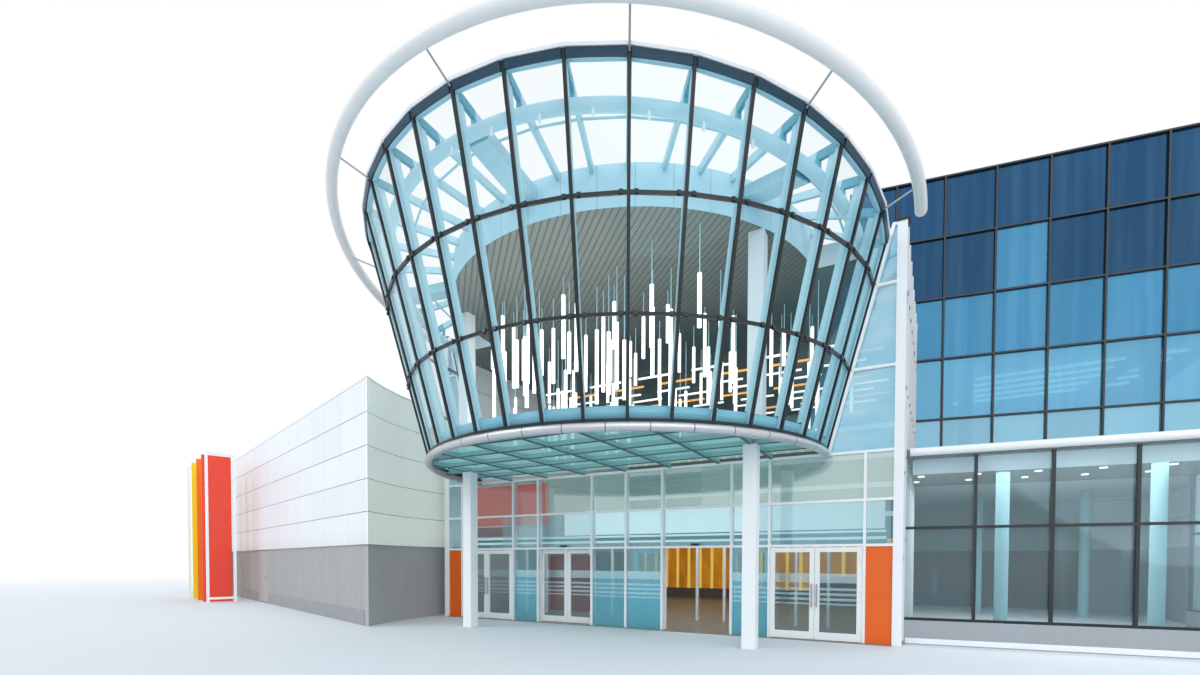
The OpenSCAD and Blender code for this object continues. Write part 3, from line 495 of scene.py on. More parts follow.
def clear_glass(name, tint, film, gloss, dust, left_painted_reflection=None, glow=0.0):
    finish = Finish(name)
    dirt = finish.noise(1.2, (1, 1, 0.5))
    wipes = finish.noise(5.0, (1, 1, 0.1))
    # Towards the left the film turns near white: a painted reflection of the bright sky on the facets that
    # face it.
    if left_painted_reflection:
        film = finish.mix(finish.ramp(finish.x, -5.0, 3.0), left_painted_reflection, film)
    return finish.close(pane(finish, tint, film, gloss, dirt * wipes * dust * 4 + dust * 0.4, glow=glow))


# The cone's film is painted near white on its left facets, a painted reflection.
cone_pane = clear_glass("cone_pane", (0.975, 0.995, 1.0), tone(130, 204, 220), 0.03, 0.012,
                        left_painted_reflection=tone(246, 252, 253))
# The soffit's panes glow a little: painted light for the daylight that comes down through them.
soffit_pane = clear_glass("soffit_pane", (0.84, 0.95, 0.95), tone(160, 208, 206), 0.50, 0.40, glow=0.30)
pavilion_pane = clear_glass("pavilion_pane", (0.93, 0.98, 0.99), tone(176, 206, 216), 0.11, 0.07)

# %% [markdown]
# The panes of the front are not all alike: some are clear, and some carry a sea-blue film. Frosted
# bands cross the doors and the low panes at hand height, so that the glass is easily seen. A material
# for each pane would give the same, but one finish that finds its pane by place is easier to change.

# %% Front glass
BAND_LOW = 1.38
BAND_HIGH = 1.60
LINES_LOW = 0.86
LINES_HIGH = 1.26
LINE_PITCH = 0.12
LINE_WIDTH = 0.06
PANE_STEP = 1.10
CORAL_END = -2.75


def frosted(finish):
    """1 on the frosted band and on the lines under it."""
    lines = finish.line(finish.z, LINE_PITCH, LINE_WIDTH) * finish.z.between(LINES_LOW, LINES_HIGH)
    return lines + finish.z.between(BAND_LOW, BAND_HIGH)


def front_pane():
    finish = Finish("front_pane")
    over_doors = finish.z > DOOR_HEAD
    over_middle = finish.z > MID_LEVEL
    upper = finish.z > CANOPY
    fanlight = over_middle * (finish.x > CORAL_END)
    pick = finish.dice((finish.x / PANE_STEP).floor(), over_middle + over_doors)
    # The fanlights carry a pale film that grows towards the right: painted light for the bright hall behind
    # them.
    painted_light_rightward = finish.ramp(finish.x, -2.0, 4.0)
    dirt = finish.noise(2.0, (1, 1, 0.3))
    share = 0.12 + (pick > 0.55) * 0.16 + fanlight * (0.18 + painted_light_rightward * 0.20)
    share = share + (finish.z < BAND_HIGH) * 0.38 + dirt * 0.06 + upper * 0.10
    # Above the canopy the film is a painted reflection of a hazy sky, pale blue to white, and a little
    # thicker.
    painted_sky_reflection = finish.mix(finish.noise(0.7, (1, 1, 2.5), 4.0) ** 2, tone(150, 212, 236), tone(236, 248, 252))
    film = finish.mix(frosted(finish) * 0.6, tone(110, 184, 202), tone(200, 228, 235))
    film = finish.mix(over_doors, film, tone(164, 204, 214))
    # Pale fanlight film: painted light from the hall behind the glass.
    film = finish.mix(fanlight, film, tone(204, 224, 220))
    film = finish.mix(upper, film, painted_sky_reflection)
    # The film also glows a little: painted light under the canopy.
    return finish.close(pane(finish, (0.90, 0.97, 0.98), film, 0.06, share, 0.06, glow=0.08))


front_glass = front_pane()

# %% [markdown]
# A door leaf is one solid: white stiles and rails round a thin pane. The pane is found by its place,
# inside the four bars, so each leaf has its own finish with its own edges. It moves with the leaf,
# because Object coordinates move with it.

# %% Door leaves
STILE = 0.11
KICK = 0.18
MARGIN = 0.001
HINGE = 0.013
LEAF_LOW = 0.03
LEAF_TOP = 2.215
HINGED = ("left_swing_a", "left_swing_b", "right_swing_a", "right_swing_b")
SLIDING = ("left_slider_a", "left_slider_b", "right_slider_a", "right_slider_b")


def leaf_sides(name):
    """Low and high edge of a leaf along the front, without its hinges."""
    low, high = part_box(name)
    if name in SLIDING:
        return low.x, high.x
    return (low.x + HINGE, high.x) if name.endswith("_a") else (low.x, high.x - HINGE)


def leaf_finish(name):
    finish = Finish(name + "_finish")
    low, high = leaf_sides(name)
    across = finish.x.between(low + STILE + MARGIN, high - STILE - MARGIN)
    up = finish.z.between(LEAF_LOW + KICK + MARGIN, LEAF_TOP - STILE - MARGIN)
    frost = frosted(finish)
    film = finish.mix(frost, tone(160, 196, 204), tone(196, 218, 224))
    glass = pane(finish, (0.90, 0.96, 0.97), film, 0.08, 0.10 + frost * 0.32, 0.05)
    grime = finish.noise(5.0, (1, 1, 0.2))
    bars = finish.principled(Base_Color=finish.shade(tone(238, 241, 244), grime * 0.10),
                             Roughness=0.4 + grime * 0.1)
    return finish.close(finish.blend(across * up, bars, glass))


print("leaves:", len(HINGED), "hinged and", len(SLIDING), "sliding")

# %% [markdown]
# The blue block is a curtain wall of square panes. Its upper rows are painted behind the glass, and
# look deep blue, but for one lighter pane. The lower rows let the columns and the ceiling lights show
# through. Rain leaves faint upright streaks. Each pane could have its own material, but row and column
# along the turned front are enough to find it in one finish.

# %% Blue glass
PANEL_W = 1.358
PANEL_H = 1.892
PANEL_SHIFT = 0.918
DEEP_BLUE = tone(10, 58, 94)
MID_BLUE = tone(10, 56, 89)
LIGHT_BLUE = tone(60, 130, 171)
SOFT_BLUE = tone(94, 157, 190)
FAINT_BLUE = tone(130, 176, 196)


def along_front(finish, start_y, turn):
    """Distance along a turned front from the side of the hall."""
    return (finish.x - HALL_OUT) * math.cos(turn) + (finish.y - start_y) * math.sin(turn)


def blue_pane():
    finish = Finish("blue_pane")
    row = ((finish.z - BLOCK_LOW) / PANEL_H).floor()
    column = ((along_front(finish, BLOCK_Y, BLOCK_TURN) - PANEL_SHIFT) / PANEL_W).floor()
    lit = column.between(0.5, 1.5) * row.between(2.5, 3.5)
    dark = (row > 2.5) * (1 - lit)
    base = finish.mix(row > 0.5, FAINT_BLUE, SOFT_BLUE)
    base = finish.mix(row > 1.5, base, LIGHT_BLUE)
    base = finish.mix(dark, base, MID_BLUE)
    base = finish.mix(dark * (row > 3.5), base, DEEP_BLUE)
    streaks = finish.noise(3.0, (1.4, 1.4, 0.05), 5.0)
    base = finish.mix(streaks ** 2 * (0.40 - dark * 0.28), base, tone(150, 196, 216))
    base = finish.shade(base, finish.dice(column, row) * 0.14)
    return finish.close(pane(finish, (0.66, 0.88, 0.96), base, 0.45, 0.66 + dark * 0.32, 0.05, sheen=0.2))


blue_glass = blue_pane()

# %% [markdown]
# The round roof edge and the ceiling are one solid. Its upright side is pale blue sheet with a joint
# under each rafter, its underside is a grey brown ceiling of narrow slats laid askew, with painted
# shade that darkens it towards the back of the hall, and its top is roofing. The way the surface
# faces tells them apart, so that the solid needn't be cut.

# %% Ceiling and roof edge
DRUM_R = 4.859
DRUM_Y = 0.333
JOINT = 0.012
SLAT_PITCH = 0.20
SLAT_GAP = 0.06
ROOF_GREY = tone(150, 154, 156)


def roof_edge(name, side_colour):
    finish = Finish(name)
    upward = finish.part(finish.normal(), 2)
    under = upward < -0.5
    over = upward > 0.5
    side = (1 - under) * (1 - over)
    joint = finish.line(around(finish, DRUM_Y) + 0.002, FACET_ANGLE, JOINT / DRUM_R) * side
    slat = finish.line(finish.x + finish.y, SLAT_PITCH, SLAT_GAP) * under
    # Painted shade: the ceiling darkens from grey brown near the front to near black deeper in the hall.
    ceiling = finish.mix(finish.ramp(finish.y, -4.5, 3.0), tone(140, 138, 130), tone(36, 32, 27))
    base = finish.mix(over, finish.mix(under, side_colour, ceiling), ROOF_GREY)
    base = finish.shade(base, joint * 0.35 + slat * 0.45 + finish.noise(1.3) * 0.1)
    return finish.coat(base, 0.65, Normal=finish.bump(1 - slat - joint, 0.006))


drum_sheet = roof_edge("drum_sheet", tone(190, 226, 238))
hall_ceiling = roof_edge("hall_ceiling", tone(206, 214, 218))

# %% [markdown]
# The flat roofs are guessed, because no photograph from the ground shows them: gravel, in grey stones
# with darker patches. A bump is enough for stones that are seen from far off. The plinth of the wing
# is grey metal with splashes of soil, for which the noise is squeezed upright.

# %% Roof gravel and plinth
def roofing():
    finish = Finish("roofing")
    stones = finish.noise(26.0, detail=6.0)
    patches = finish.noise(0.35)
    base = finish.mix(stones, tone(120, 122, 122), tone(176, 178, 178))
    return finish.coat(finish.shade(base, patches * 0.25), 0.95, Normal=finish.bump(stones, 0.008))


def plinth():
    finish = Finish("plinth_metal")
    splash = finish.noise(3.0, (1, 1, 2.0), 5.0)
    return finish.coat(finish.shade(tone(160, 163, 166), splash * 0.25), 0.6 + splash * 0.2)


roof_gravel = roofing()
plinth_metal = plinth()

# %% [markdown]
# The backs, which the photograph doesn't show, plainly repeat the wing: pale flat panels with thin
# joints over a grey base. They are drawn, not built, because nothing on them stands out. The same
# finish paints the blue block's wall dark and warm where it is the back of the pavilion's room: a
# painted shade for the dim room seen through the pavilion's glass.

# %% Plain backs
PANEL_START = 40.0
PAVILION_BAY = 1.413
PAVILION_BAYS = 5


def panel_joints(finish, along):
    """1 on the joints between the flat panels over the base."""
    level = finish.line(finish.z - BASE_H, ROW_H, GAP)
    return finish.either(level, finish.line(along + PANEL_START, TRAY_LEN, GAP)) * (finish.z > BASE_H)


def panel_tone(finish):
    return finish.mix(finish.z < BASE_H, tone(224, 228, 231), tone(170, 173, 176))


def plain_back():
    finish = Finish("plain_back")
    facing_y = finish.either(finish.toward((0.0, 1.0, 0.0)), finish.toward((0.0, -1.0, 0.0)))
    top = finish.toward((0.0, 0.0, 1.0))
    joint = panel_joints(finish, finish.x * facing_y + finish.y * (1 - facing_y)) * (1 - top)
    wear = finish.noise(2.0, (1, 1, 0.15), 5.0)
    base = finish.mix(top, panel_tone(finish), tone(158, 160, 161))
    base = finish.shade(base, joint * 0.6 + wear * 0.14)
    # Painted shade: where the wall is the back of the pavilion's room, it is dark, for the dim room behind
    # the glass.
    room = finish.toward((math.sin(BLOCK_TURN), -math.cos(BLOCK_TURN), 0.0)) * (finish.z < BLOCK_LOW)
    room = room * (along_front(finish, PAVILION_Y, PAVILION_TURN) < PAVILION_BAY * PAVILION_BAYS)
    room_painted_shade = finish.mix(wear, tone(58, 68, 70), tone(120, 84, 62))
    room_painted_shade = finish.mix(finish.z < BASE_H, tone(150, 160, 160), room_painted_shade)
    base = finish.mix(room, base, room_painted_shade)
    return finish.coat(base, 0.5 + wear * 0.2, Normal=finish.bump(1 - joint, 0.01))


back_panels = plain_back()

# %% [markdown]
# Inside, the floor is pale tile, and the rear wall glows warm behind the doors, as a shop does, with
# pale bands above and a dark foot that is higher on the right. Shelves and lamps could be modelled
# there, but behind two layers of glass only their glow is seen, so the wall gives off that light
# itself. Its back has the plain panels.

# %% Floor tiles and rear wall
TILE = 0.6
TILE_JOINT = 0.006
WARM_LOW = 0.5
WARM_RISE = 0.7
RISE_FROM = 3.2
WARM_TOP = 2.9
BAR_START = 7.0
BAR_PITCH = 0.62
BAR_WIDTH = 0.15
PALE_PITCH = 1.3
PALE_WIDTH = 0.22


def hall_tiles():
    finish = Finish("floor_tiles")
    joint = finish.either(finish.line(finish.x, TILE, TILE_JOINT), finish.line(finish.y, TILE, TILE_JOINT))
    wear = finish.noise(2.0, detail=5.0)
    base = finish.shade(tone(140, 136, 128), joint * 0.35 + wear * 0.15)
    return finish.coat(base, 0.25 + wear * 0.2, Normal=finish.bump(1 - joint, 0.002))


def shop_wall():
    finish = Finish("shop_wall")
    warm = finish.mix(finish.noise(2.2, (1, 1, 0.3)), tone(236, 156, 30), tone(120, 66, 16))
    warm = finish.mix(finish.line(finish.x + BAR_START, BAR_PITCH, BAR_WIDTH), warm, tone(255, 212, 96))
    warm = finish.mix(finish.z < WARM_LOW + (finish.x > RISE_FROM) * WARM_RISE, warm, tone(66, 60, 54))
    pale = finish.mix(finish.line(finish.z, PALE_PITCH, PALE_WIDTH), tone(78, 92, 96), tone(226, 238, 240))
    inside = finish.part(finish.normal(), 1) < -0.5
    back = finish.shade(panel_tone(finish), panel_joints(finish, finish.x) * 0.6)
    base = finish.mix(inside, back, finish.mix(finish.z < WARM_TOP, pale, warm))
    wear = finish.noise(1.5)
    # The same noise also dims the glow in patches, a painted unevenness of the shop's light.
    glow = finish.shade(base, 1 - inside * (1 - wear * 0.4))
    return finish.coat(base, 0.6 + wear * 0.1, Emission_Color=glow, Emission_Strength=0.55)


floor_tiles = hall_tiles()
shop_glow = shop_wall()

# %% [markdown]
# Some solids have two tones, as the painted steel under the soffit: its bars are close to the colour
# of the glass, and only a narrow flange along their foot is dark, so from below the grid looks thin.
# The wing's walls are dark where they show in the open joints, the inner columns beyond the side of
# the hall get a painted shade, darker and bluer, behind the blue glass, and the top deck of the block
# is roof. One function serves them all, with a mask.

# %% Two-tone finishes
FLANGE = 0.014
TO_FRONT = (-math.sin(WING_TURN), -math.cos(WING_TURN), 0.0)


def two_tone(name, mask_of, first, second, scale, soil, roughness, spread=0.1, stretch=(1, 1, 1)):
    """A worn paint with a second tone where the mask is 1."""
    finish = Finish(name)
    wear = finish.noise(scale, stretch)
    base = finish.shade(finish.mix(mask_of(finish), first, second), wear * soil)
    return finish.coat(base, roughness + wear * spread)


def behind_joints(finish):
    """The outer faces of the long wall and of the curved one."""
    axis = finish.node("ShaderNodeVectorMath", {"operation": "NORMALIZE"},
                       {0: finish.join(finish.x * -1.0, finish.y * -1.0, 0.0)})
    return finish.either(finish.toward(TO_FRONT), finish.toward(axis))


soffit_paint = two_tone("soffit_paint", lambda finish: finish.z < CANOPY + FLANGE, tone(150, 196, 198),
                        tone(70, 96, 104), scale=10.0, soil=0.15, roughness=0.4, spread=0.2)
clad_body = two_tone("cladding_body", behind_joints, tone(206, 210, 212), tone(84, 88, 92), scale=3.0,
                     soil=0.12, roughness=0.7)
# Painted shade: the inner columns beyond the side of the hall are darker and bluer than white.
column_paint = two_tone("column_paint", lambda finish: finish.x > HALL_OUT, tone(240, 244, 246),
                        tone(140, 178, 186), scale=3.0, soil=0.08, roughness=0.5, stretch=(1, 1, 0.2))
deck_paint = two_tone("deck_paint", lambda finish: finish.toward((0.0, 0.0, 1.0)) * (finish.z > FRONT_TOP),
                      tone(214, 220, 222), ROOF_GREY, scale=1.3, soil=0.15, roughness=0.8)

# %% [markdown]
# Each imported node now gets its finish. A list says which, so that the whole building can be read
# and repainted in one place. Only the door leaves get one finish each.

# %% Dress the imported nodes
DRESS = (
    (white_paint, "front_mullions front_transoms end_posts columns fin_portals wing_cap pavilion_rail"),
    (column_paint, "inner_columns"),
    (halo_paint, "halo"),
    (silver_tube, "cone_hoop"),
    (steel, "halo_struts door_tracks fin_ties"),
    (dark_metal, "cone_bands block_mullions block_transoms pavilion_mullions pavilion_transoms louvre_wall"),
    (rim_metal, "cone_rim"),
    (soffit_paint, "soffit_beams"),
    (pale_blue, "rafter_ring"),
    (rafter_paint, "rafters"),
    (cone_mullion, "cone_ribs"),
    (cone_pane, "cone_glass"),
    (soffit_pane, "soffit_glass"),
    (pavilion_pane, "pavilion_glass"),
    (front_glass, "front_glass"),
    (blue_glass, "block_glass"),
    (orange_panel, "end_panels"),
    (red_fin, "red_fin"),
    (orange_fin, "orange_fin"),
    (yellow_fin, "yellow_fin"),
    (drum_sheet, "roof_drum"),
    (hall_ceiling, "hall_roof"),
    (roof_gravel, "wing_roof pavilion_roof"),
    (floor_tiles, "hall_floor wing_floor pavilion_floor"),
    (ledge_stone, "pavilion_plinth"),
    (shop_glow, "hall_rear_wall"),
    (grey_metal, "wing_base wing_curved_base service_door"),
    (plinth_metal, "wing_plinth"),
    (clad_body, "wing_cladding wing_curved_cladding"),
    (deck_paint, "block_slabs"),
    (back_panels, "wing_back_walls block_walls hall_left_wall"))
dressed = [(material, name) for material, names in DRESS for name in names.split()]
dressed += [(leaf_finish(leaf), leaf) for leaf in HINGED + SLIDING]
for material, name in dressed:
    for slot in nodes[name].material_slots:
        slot.material = material
print("nodes dressed:", len(dressed), "of", len(nodes))


# %% [markdown]
# What repeats is made by Geometry Nodes. A tree is a set of points with a small item on each, and its
# inputs are the counts, places and sizes, so that one tree serves many rows. Copied objects would do,
# but each row would be a long list. Instances are made real, and the result is kept as a plain mesh.

# %% Trees that make rows
class Shape(Graph):
    def __init__(self, name):
        self.tree = bpy.data.node_groups.new(name, "GeometryNodeTree")
        self.tree.interface.new_socket(name="Geometry", in_out="OUTPUT", socket_type="NodeSocketGeometry")
        self.entry = self.tree.nodes.new("NodeGroupInput")

    def ask(self, **kinds):
        """The named inputs of the tree, each with its kind, in the order given."""
        for name, kind in kinds.items():
            self.tree.interface.new_socket(name=name, in_out="INPUT", socket_type="NodeSocket" + kind)
        return [Value(self, self.entry.outputs[name]) for name in kinds]

    def points(self, count, place):
        """Points that lie where place says."""
        line = self.node("GeometryNodeMeshLine", {"mode": "OFFSET"}, {"Count": count})
        return self.node("GeometryNodeSetPosition", inputs={"Geometry": line, "Position": place})

    def cube(self, size):
        return self.node("GeometryNodeMeshCube", inputs={"Size": size})

    def close(self, points, item, **inputs):
        """Sets the item on each point, makes the copies real and ends the tree."""
        given = {"Points": points, "Instance": item, **inputs}
        copies = self.node("GeometryNodeInstanceOnPoints", inputs=given)
        real = self.node("GeometryNodeRealizeInstances", inputs={0: copies})
        material = self.ask(Material="Material")[0]
        finished = self.node("GeometryNodeSetMaterial", inputs={"Geometry": real, "Material": material})
        out = self.tree.nodes.new("NodeGroupOutput")
        self.feed(out.inputs["Geometry"], finished)
        print(self.tree.name + ":", len(self.tree.nodes), "nodes")
        return self.tree


def grow(name, tree, material, slot, **values):
    """Runs a tree with the given inputs, and keeps what it makes as one plain mesh."""
    made = add(name, bpy.data.meshes.new(name + "_start"))
    modifier = made.modifiers.new("rows", "NODES")
    modifier.node_group = tree
    values["Material"] = material
    for item in tree.interface.items_tree:
        if item.in_out == "INPUT":
            modifier[item.identifier] = values[item.name]
    result = bpy.data.meshes.new_from_object(made.evaluated_get(bpy.context.evaluated_depsgraph_get()))
    made.modifiers.clear()
    made.data = result
    made.data.name = name
    seat(made, BUILDING)


def row_tree():
    shape = Shape("straight_row")
    count, start, step, size, turn = shape.ask(Count="Int", Start="Vector", Step="Vector", Size="Vector",
                                               Turn="Float")
    points = shape.node("GeometryNodeMeshLine", {"mode": "OFFSET"},
                        {"Count": count, "Start Location": start, "Offset": step})
    return shape.close(points, shape.cube(size), Rotation=shape.join(z=turn))


straight_row = row_tree()


def row(name, first, last, count, size, turn, material, slot):
    """A row of equal blocks whose middles run from one point to another."""
    step = (last - first) / max(count - 1, 1)
    grow(name, straight_row, material, slot, Count=count, Start=tuple(first), Step=tuple(step), Size=size,
         Turn=turn)


# %% [markdown]
# Round the cone a straight line won't do. This tree turns the number of each point into an angle, and
# that into a place on a circle that may be tilted. The item on it is turned to face out.

# %% Ring rows round the cone
def ring_tree():
    shape = Shape("ring_row")
    count, first, radius, centre, level, slope, tilt, size = shape.ask(
        Count="Int", First="Float", Radius="Float", Centre="Float", Level="Float", Slope="Float",
        Tilt="Float", Size="Vector")
    angle = first + FACET_ANGLE * shape.node("GeometryNodeInputIndex")
    forward = centre + radius * shape.math("COSINE", angle)
    place = shape.join(radius * shape.math("SINE", angle), forward * -1.0, level + slope * forward)
    return shape.close(shape.points(count, place), shape.cube(size), Rotation=shape.join(x=tilt, z=angle))


ring_row = ring_tree()


def ring(name, count, first, radius, level, size, material, slot, centre=0.0, slope=0.0, tilt=0.0):
    """A row of equal blocks round the cone, one in each facet from the first angle on."""
    grow(name, ring_row, material, slot, Count=count, First=first, Radius=radius, Centre=centre, Level=level,
         Slope=slope, Tilt=tilt, Size=size)


# %% [markdown]
# Small clamps hold the panes beside each mullion, in two rows on the transoms, and small lugs hang
# under the ring tube, one in each bay. They repeat evenly, so the ring tree makes them, and far too
# many of them are alike to be solids of their own.

# %% Fittings of the cone
RING_LEVELS = (6.25, 8.055)
RING_RADIUS = 5.962
RING_TUBE = 0.118
RING_Y = 0.28
RING_LEVEL = 8.643
LEFT_END = -math.pi / 2
CLAMP = (0.07, 0.05, 0.085)
CLAMP_SIDE = 0.13
CLAMP_IN = 0.01
LUG = (0.05, 0.02, 0.16)
LUG_DROP = 0.07
for number, level in enumerate(RING_LEVELS):
    reach = cone_radius(level) - CLAMP_IN
    for name, start, side in (("left", LEFT_END + FACET_ANGLE, -1), ("right", LEFT_END, 1)):
        ring(f"clamps_{name}_{number + 1}", FACETS, start + side * CLAMP_SIDE / reach, reach, level, CLAMP,
             dark_metal, "dark_metal", tilt=-math.atan(CONE_SLOPE))
ring("tube_lugs", FACETS - 2, LEFT_END + 1.5 * FACET_ANGLE, RING_RADIUS, RING_LEVEL - RING_TUBE - LUG_DROP,
     LUG, white_paint, "white_metal", centre=RING_Y, slope=RIM_SLOPE)

# %% [markdown]
# Behind the glass a thin pale fin on each mullion reaches further into the cone. Each has its own
# length up to the tilted rim, which no even row can follow, so the fins are blocks in a loop.

# %% Fins of the mullions
RIB_D = 0.14
FIN_T = 0.012
FIN_D = 0.13
FIN_GAP = 0.03
FOOT_R = 0.15
FOOT_Z = 4.665
CORNERS = [i * FACET_ANGLE for i in range(-FACETS // 2, FACETS // 2 + 1)]


def mullion(angle):
    """Coordinates of one mullion: across it, behind the face of the cone, and up."""
    side = Vector((math.cos(angle), math.sin(angle), 0))

    def place(across, depth, z):
        return cone(angle, depth, z) + side * across
    return place


fins = bmesh.new()
for angle in CORNERS:
    limits = span((-FIN_T, FIN_T), (RIB_D, RIB_D + FIN_D), (FOOT_Z + FOOT_R + 0.005, rim_z(angle) - FIN_GAP))
    block(fins, mullion(angle), *limits)
piece("mullion_fins", fins, pale_blue)

# %% [markdown]
# A pale tube runs round the foot of the cone inside the glass, over the soffit, and carries its
# lower edge. It is straight across each facet. A bevelled curve would round off those corners, so
# the tube is skinned over one round section at each corner.

# %% Foot tube
FOOT_SIDES = 16
FOOT_IN = RIB_D + 0.003
foot_paint = painted("foot_paint", tone(138, 198, 216), roughness=0.35)


def foot_section(angle):
    """One round section of the tube, at a corner of the cone."""
    turns = [k * math.tau / FOOT_SIDES for k in range(FOOT_SIDES)]
    return [foot.verts.new(cone(angle, FOOT_IN + FOOT_R * (1 + math.cos(turn)),
                                FOOT_Z + FOOT_R * math.sin(turn))) for turn in turns]


foot = bmesh.new()
skin(foot, [foot_section(angle) for angle in CORNERS])
piece("foot_tube", foot, foot_paint)

# %% [markdown]
# A thin white capping closes the rail along the rim. It is straight across each facet, as the rail
# is, so each of its lengths is a block between two corners of the cone.

# %% Rim capping
CAPPING_OUT = 0.03
CAPPING_LOW = 0.004
CAPPING_TOP = 0.05


def facet(a, b):
    """Coordinates of one facet: a share of its width, behind its face, and up from the rim."""
    def place(share, depth, up):
        return cone(a, depth, rim_z(a) + up).lerp(cone(b, depth, rim_z(b) + up), share)
    return place


capping = bmesh.new()
for a, b in zip(CORNERS, CORNERS[1:]):
    block(capping, facet(a, b), (0.0, -CAPPING_OUT, CAPPING_LOW), (1.0, RIB_D, CAPPING_TOP))
piece("rim_capping", capping, white_paint)

# %% [markdown]
# A light bar closes the cone against the front on each side, and follows its slope. A turned cube
# would need the slope once more as an angle, so the bar takes it from the radius of the cone.

# %% Slanting edge bars
BAR_LIMITS = span((0.002, 0.07), (-0.045, -0.002), (CANOPY + 0.02, FRONT_TOP - 0.02))


def cone_edge(side):
    """Coordinates along one edge of the cone: out from it, into the building, and up."""
    def place(across, y, z):
        return Vector((side * (cone_radius(z) + across), y, z))
    return place


edge_bars = bmesh.new()
for side in (-1, 1):
    block(edge_bars, cone_edge(side), *BAR_LIMITS)
piece("edge_bars", edge_bars, white_paint)

# %% [markdown]
# The hall is lit by a cloud of hanging light tubes, each on a thin pale rod of its own length. One
# tree makes both: the rods with a share of 0, from the ceiling down, and the tubes with a share of 1,
# from the rod's foot. Both runs use the same seed, so that each tube hangs on its rod.

# %% Hanging light tubes
DROP = (0.15, 1.95)
TUBE_LEN = (0.9, 1.95)
TUBE_R = 0.047
ROD_R = 0.012
TUBE_SIDES = 10


def glowing(name, colour, strength):
    finish = Finish(name)
    glow = finish.shade(colour, finish.noise(9.0, (1, 1, 0.2)) * 0.06)
    return finish.coat(glow, 0.4, Emission_Color=glow, Emission_Strength=strength)


white_light = glowing("white_light", tone(255, 253, 244), 1.15)
amber_light = glowing("amber_light", tone(250, 170, 70), 1.0)


def hanging_tree():
    shape = Shape("hanging_tubes")
    low, high, top, count, seed, share, radius = shape.ask(
        Low="Vector", High="Vector", Top="Float", Count="Int", Seed="Int", Share="Float", Radius="Float")
    index = shape.node("GeometryNodeInputIndex")

    def pick(kind, limits, offset):
        """A random value between two limits for each point."""
        socket, out = {"FLOAT_VECTOR": (0, 0), "FLOAT": (2, 1)}[kind]
        wanted = {socket: limits[0], socket + 1: limits[1], "ID": index, "Seed": seed + offset}
        return shape.node("FunctionNodeRandomValue", {"data_type": kind}, wanted, out=out)
    place = pick("FLOAT_VECTOR", (low, high), 0.0)
    drop = pick("FLOAT", DROP, 1.0)
    length = pick("FLOAT", TUBE_LEN, 2.0)
    lift = shape.join(z=top - drop * share)
    moved = shape.node("ShaderNodeVectorMath", {"operation": "ADD"}, {0: place, 1: lift})
    rod = shape.node("GeometryNodeMeshCylinder", inputs={"Vertices": TUBE_SIDES, "Radius": radius,
                                                         "Depth": 1.0})
    hung = shape.node("GeometryNodeTransform", inputs={"Geometry": rod, "Translation": (0.0, 0.0, -0.5)})
    reach = drop * (1 - share) + length * share
    return shape.close(shape.points(count, moved), hung, Scale=shape.join(1.0, 1.0, reach))


hanging_tubes = hanging_tree()
CLOUDS = (("cloud_front", (-3.6, -2.9, 0.0), (3.6, -0.2, 0.0), 34, 3),
          ("cloud_hall", (-5.8, 0.6, 0.0), (5.8, 4.6, 0.0), 64, 8))
CLOUD_PARTS = (("_rods", 0.0, ROD_R, pale_blue, "pale_blue_metal"),
               ("_tubes", 1.0, TUBE_R, white_light, "white_metal"))
for name, low, high, count, seed in CLOUDS:
    for part, share, radius, finish, slot in CLOUD_PARTS:
        grow(name + part, hanging_tubes, finish, slot, Low=low, High=high, Top=CEILING - 0.002, Count=count,
             Seed=seed, Share=share, Radius=radius)

# %% [markdown]
# Deeper in the hall, long lights lie flat under the ceiling, white ones with a few amber ones between.
# Each row is one run of the row tree, and every second row is shifted, as the lights are staggered.

# %% Ceiling lights
CEILING_ROWS = 9
FIRST_ROW_Y = 5.2
ROW_STEP = 0.9
ROW_ENDS = (-5.6, 4.9)
ROW_SHIFT = 0.55
LIGHTS_IN_ROW = 6
LIGHT_LEVEL = CEILING - 0.12
LONG_LIGHT = (1.35, 0.07, 0.06)
for number in range(CEILING_ROWS):
    shift = ROW_SHIFT if number % 2 else 0.0
    ends = [Vector((x + shift, FIRST_ROW_Y + ROW_STEP * number, LIGHT_LEVEL)) for x in ROW_ENDS]
    light = amber_light if number % 3 == 1 else white_light
    row(f"ceiling_lights_{number + 1}", *ends, LIGHTS_IN_ROW, LONG_LIGHT, 0.0, light, "white_metal")

# %% [markdown]
# Behind the front glass the hall shows a header over the doors, with pale lines, and a pale fascia
# above it. Both are blank, and the pale lines and the fascia glow a little, a painted light. Behind
# the glass only their flat faces count, so plain blocks are enough.

# %% Header and fascia
teal = painted("teal_header", tone(66, 146, 158), roughness=0.5)
# Painted light: the fascia and the header's pale lines glow, though they are no lamps.
lit_fascia = glowing("lit_fascia", tone(226, 234, 236), 0.6)
HEADER_X = (-6.5, 6.5)
HEADERS = (("door_header", teal, (0.42, 0.50), ((2.29, 2.40), (2.48, 2.56))),
           ("header_lines", lit_fascia, (0.41, 0.51), ((2.41, 2.47), (2.57, 2.62))))
FASCIA = span((-2.6, 6.45), (0.9, 0.96), (2.68, 3.40))
for name, material, depth, levels in HEADERS:
    blocks(name, plain, [span(HEADER_X, depth, level) for level in levels], material)
blocks("pale_fascia", plain, [FASCIA], lit_fascia)

# %% [markdown]
# A second row of doors stands further in, and only its white frames show through the glass. Each
# frame is three uprights and a head, which a loop sets from the two sides of its doorway.

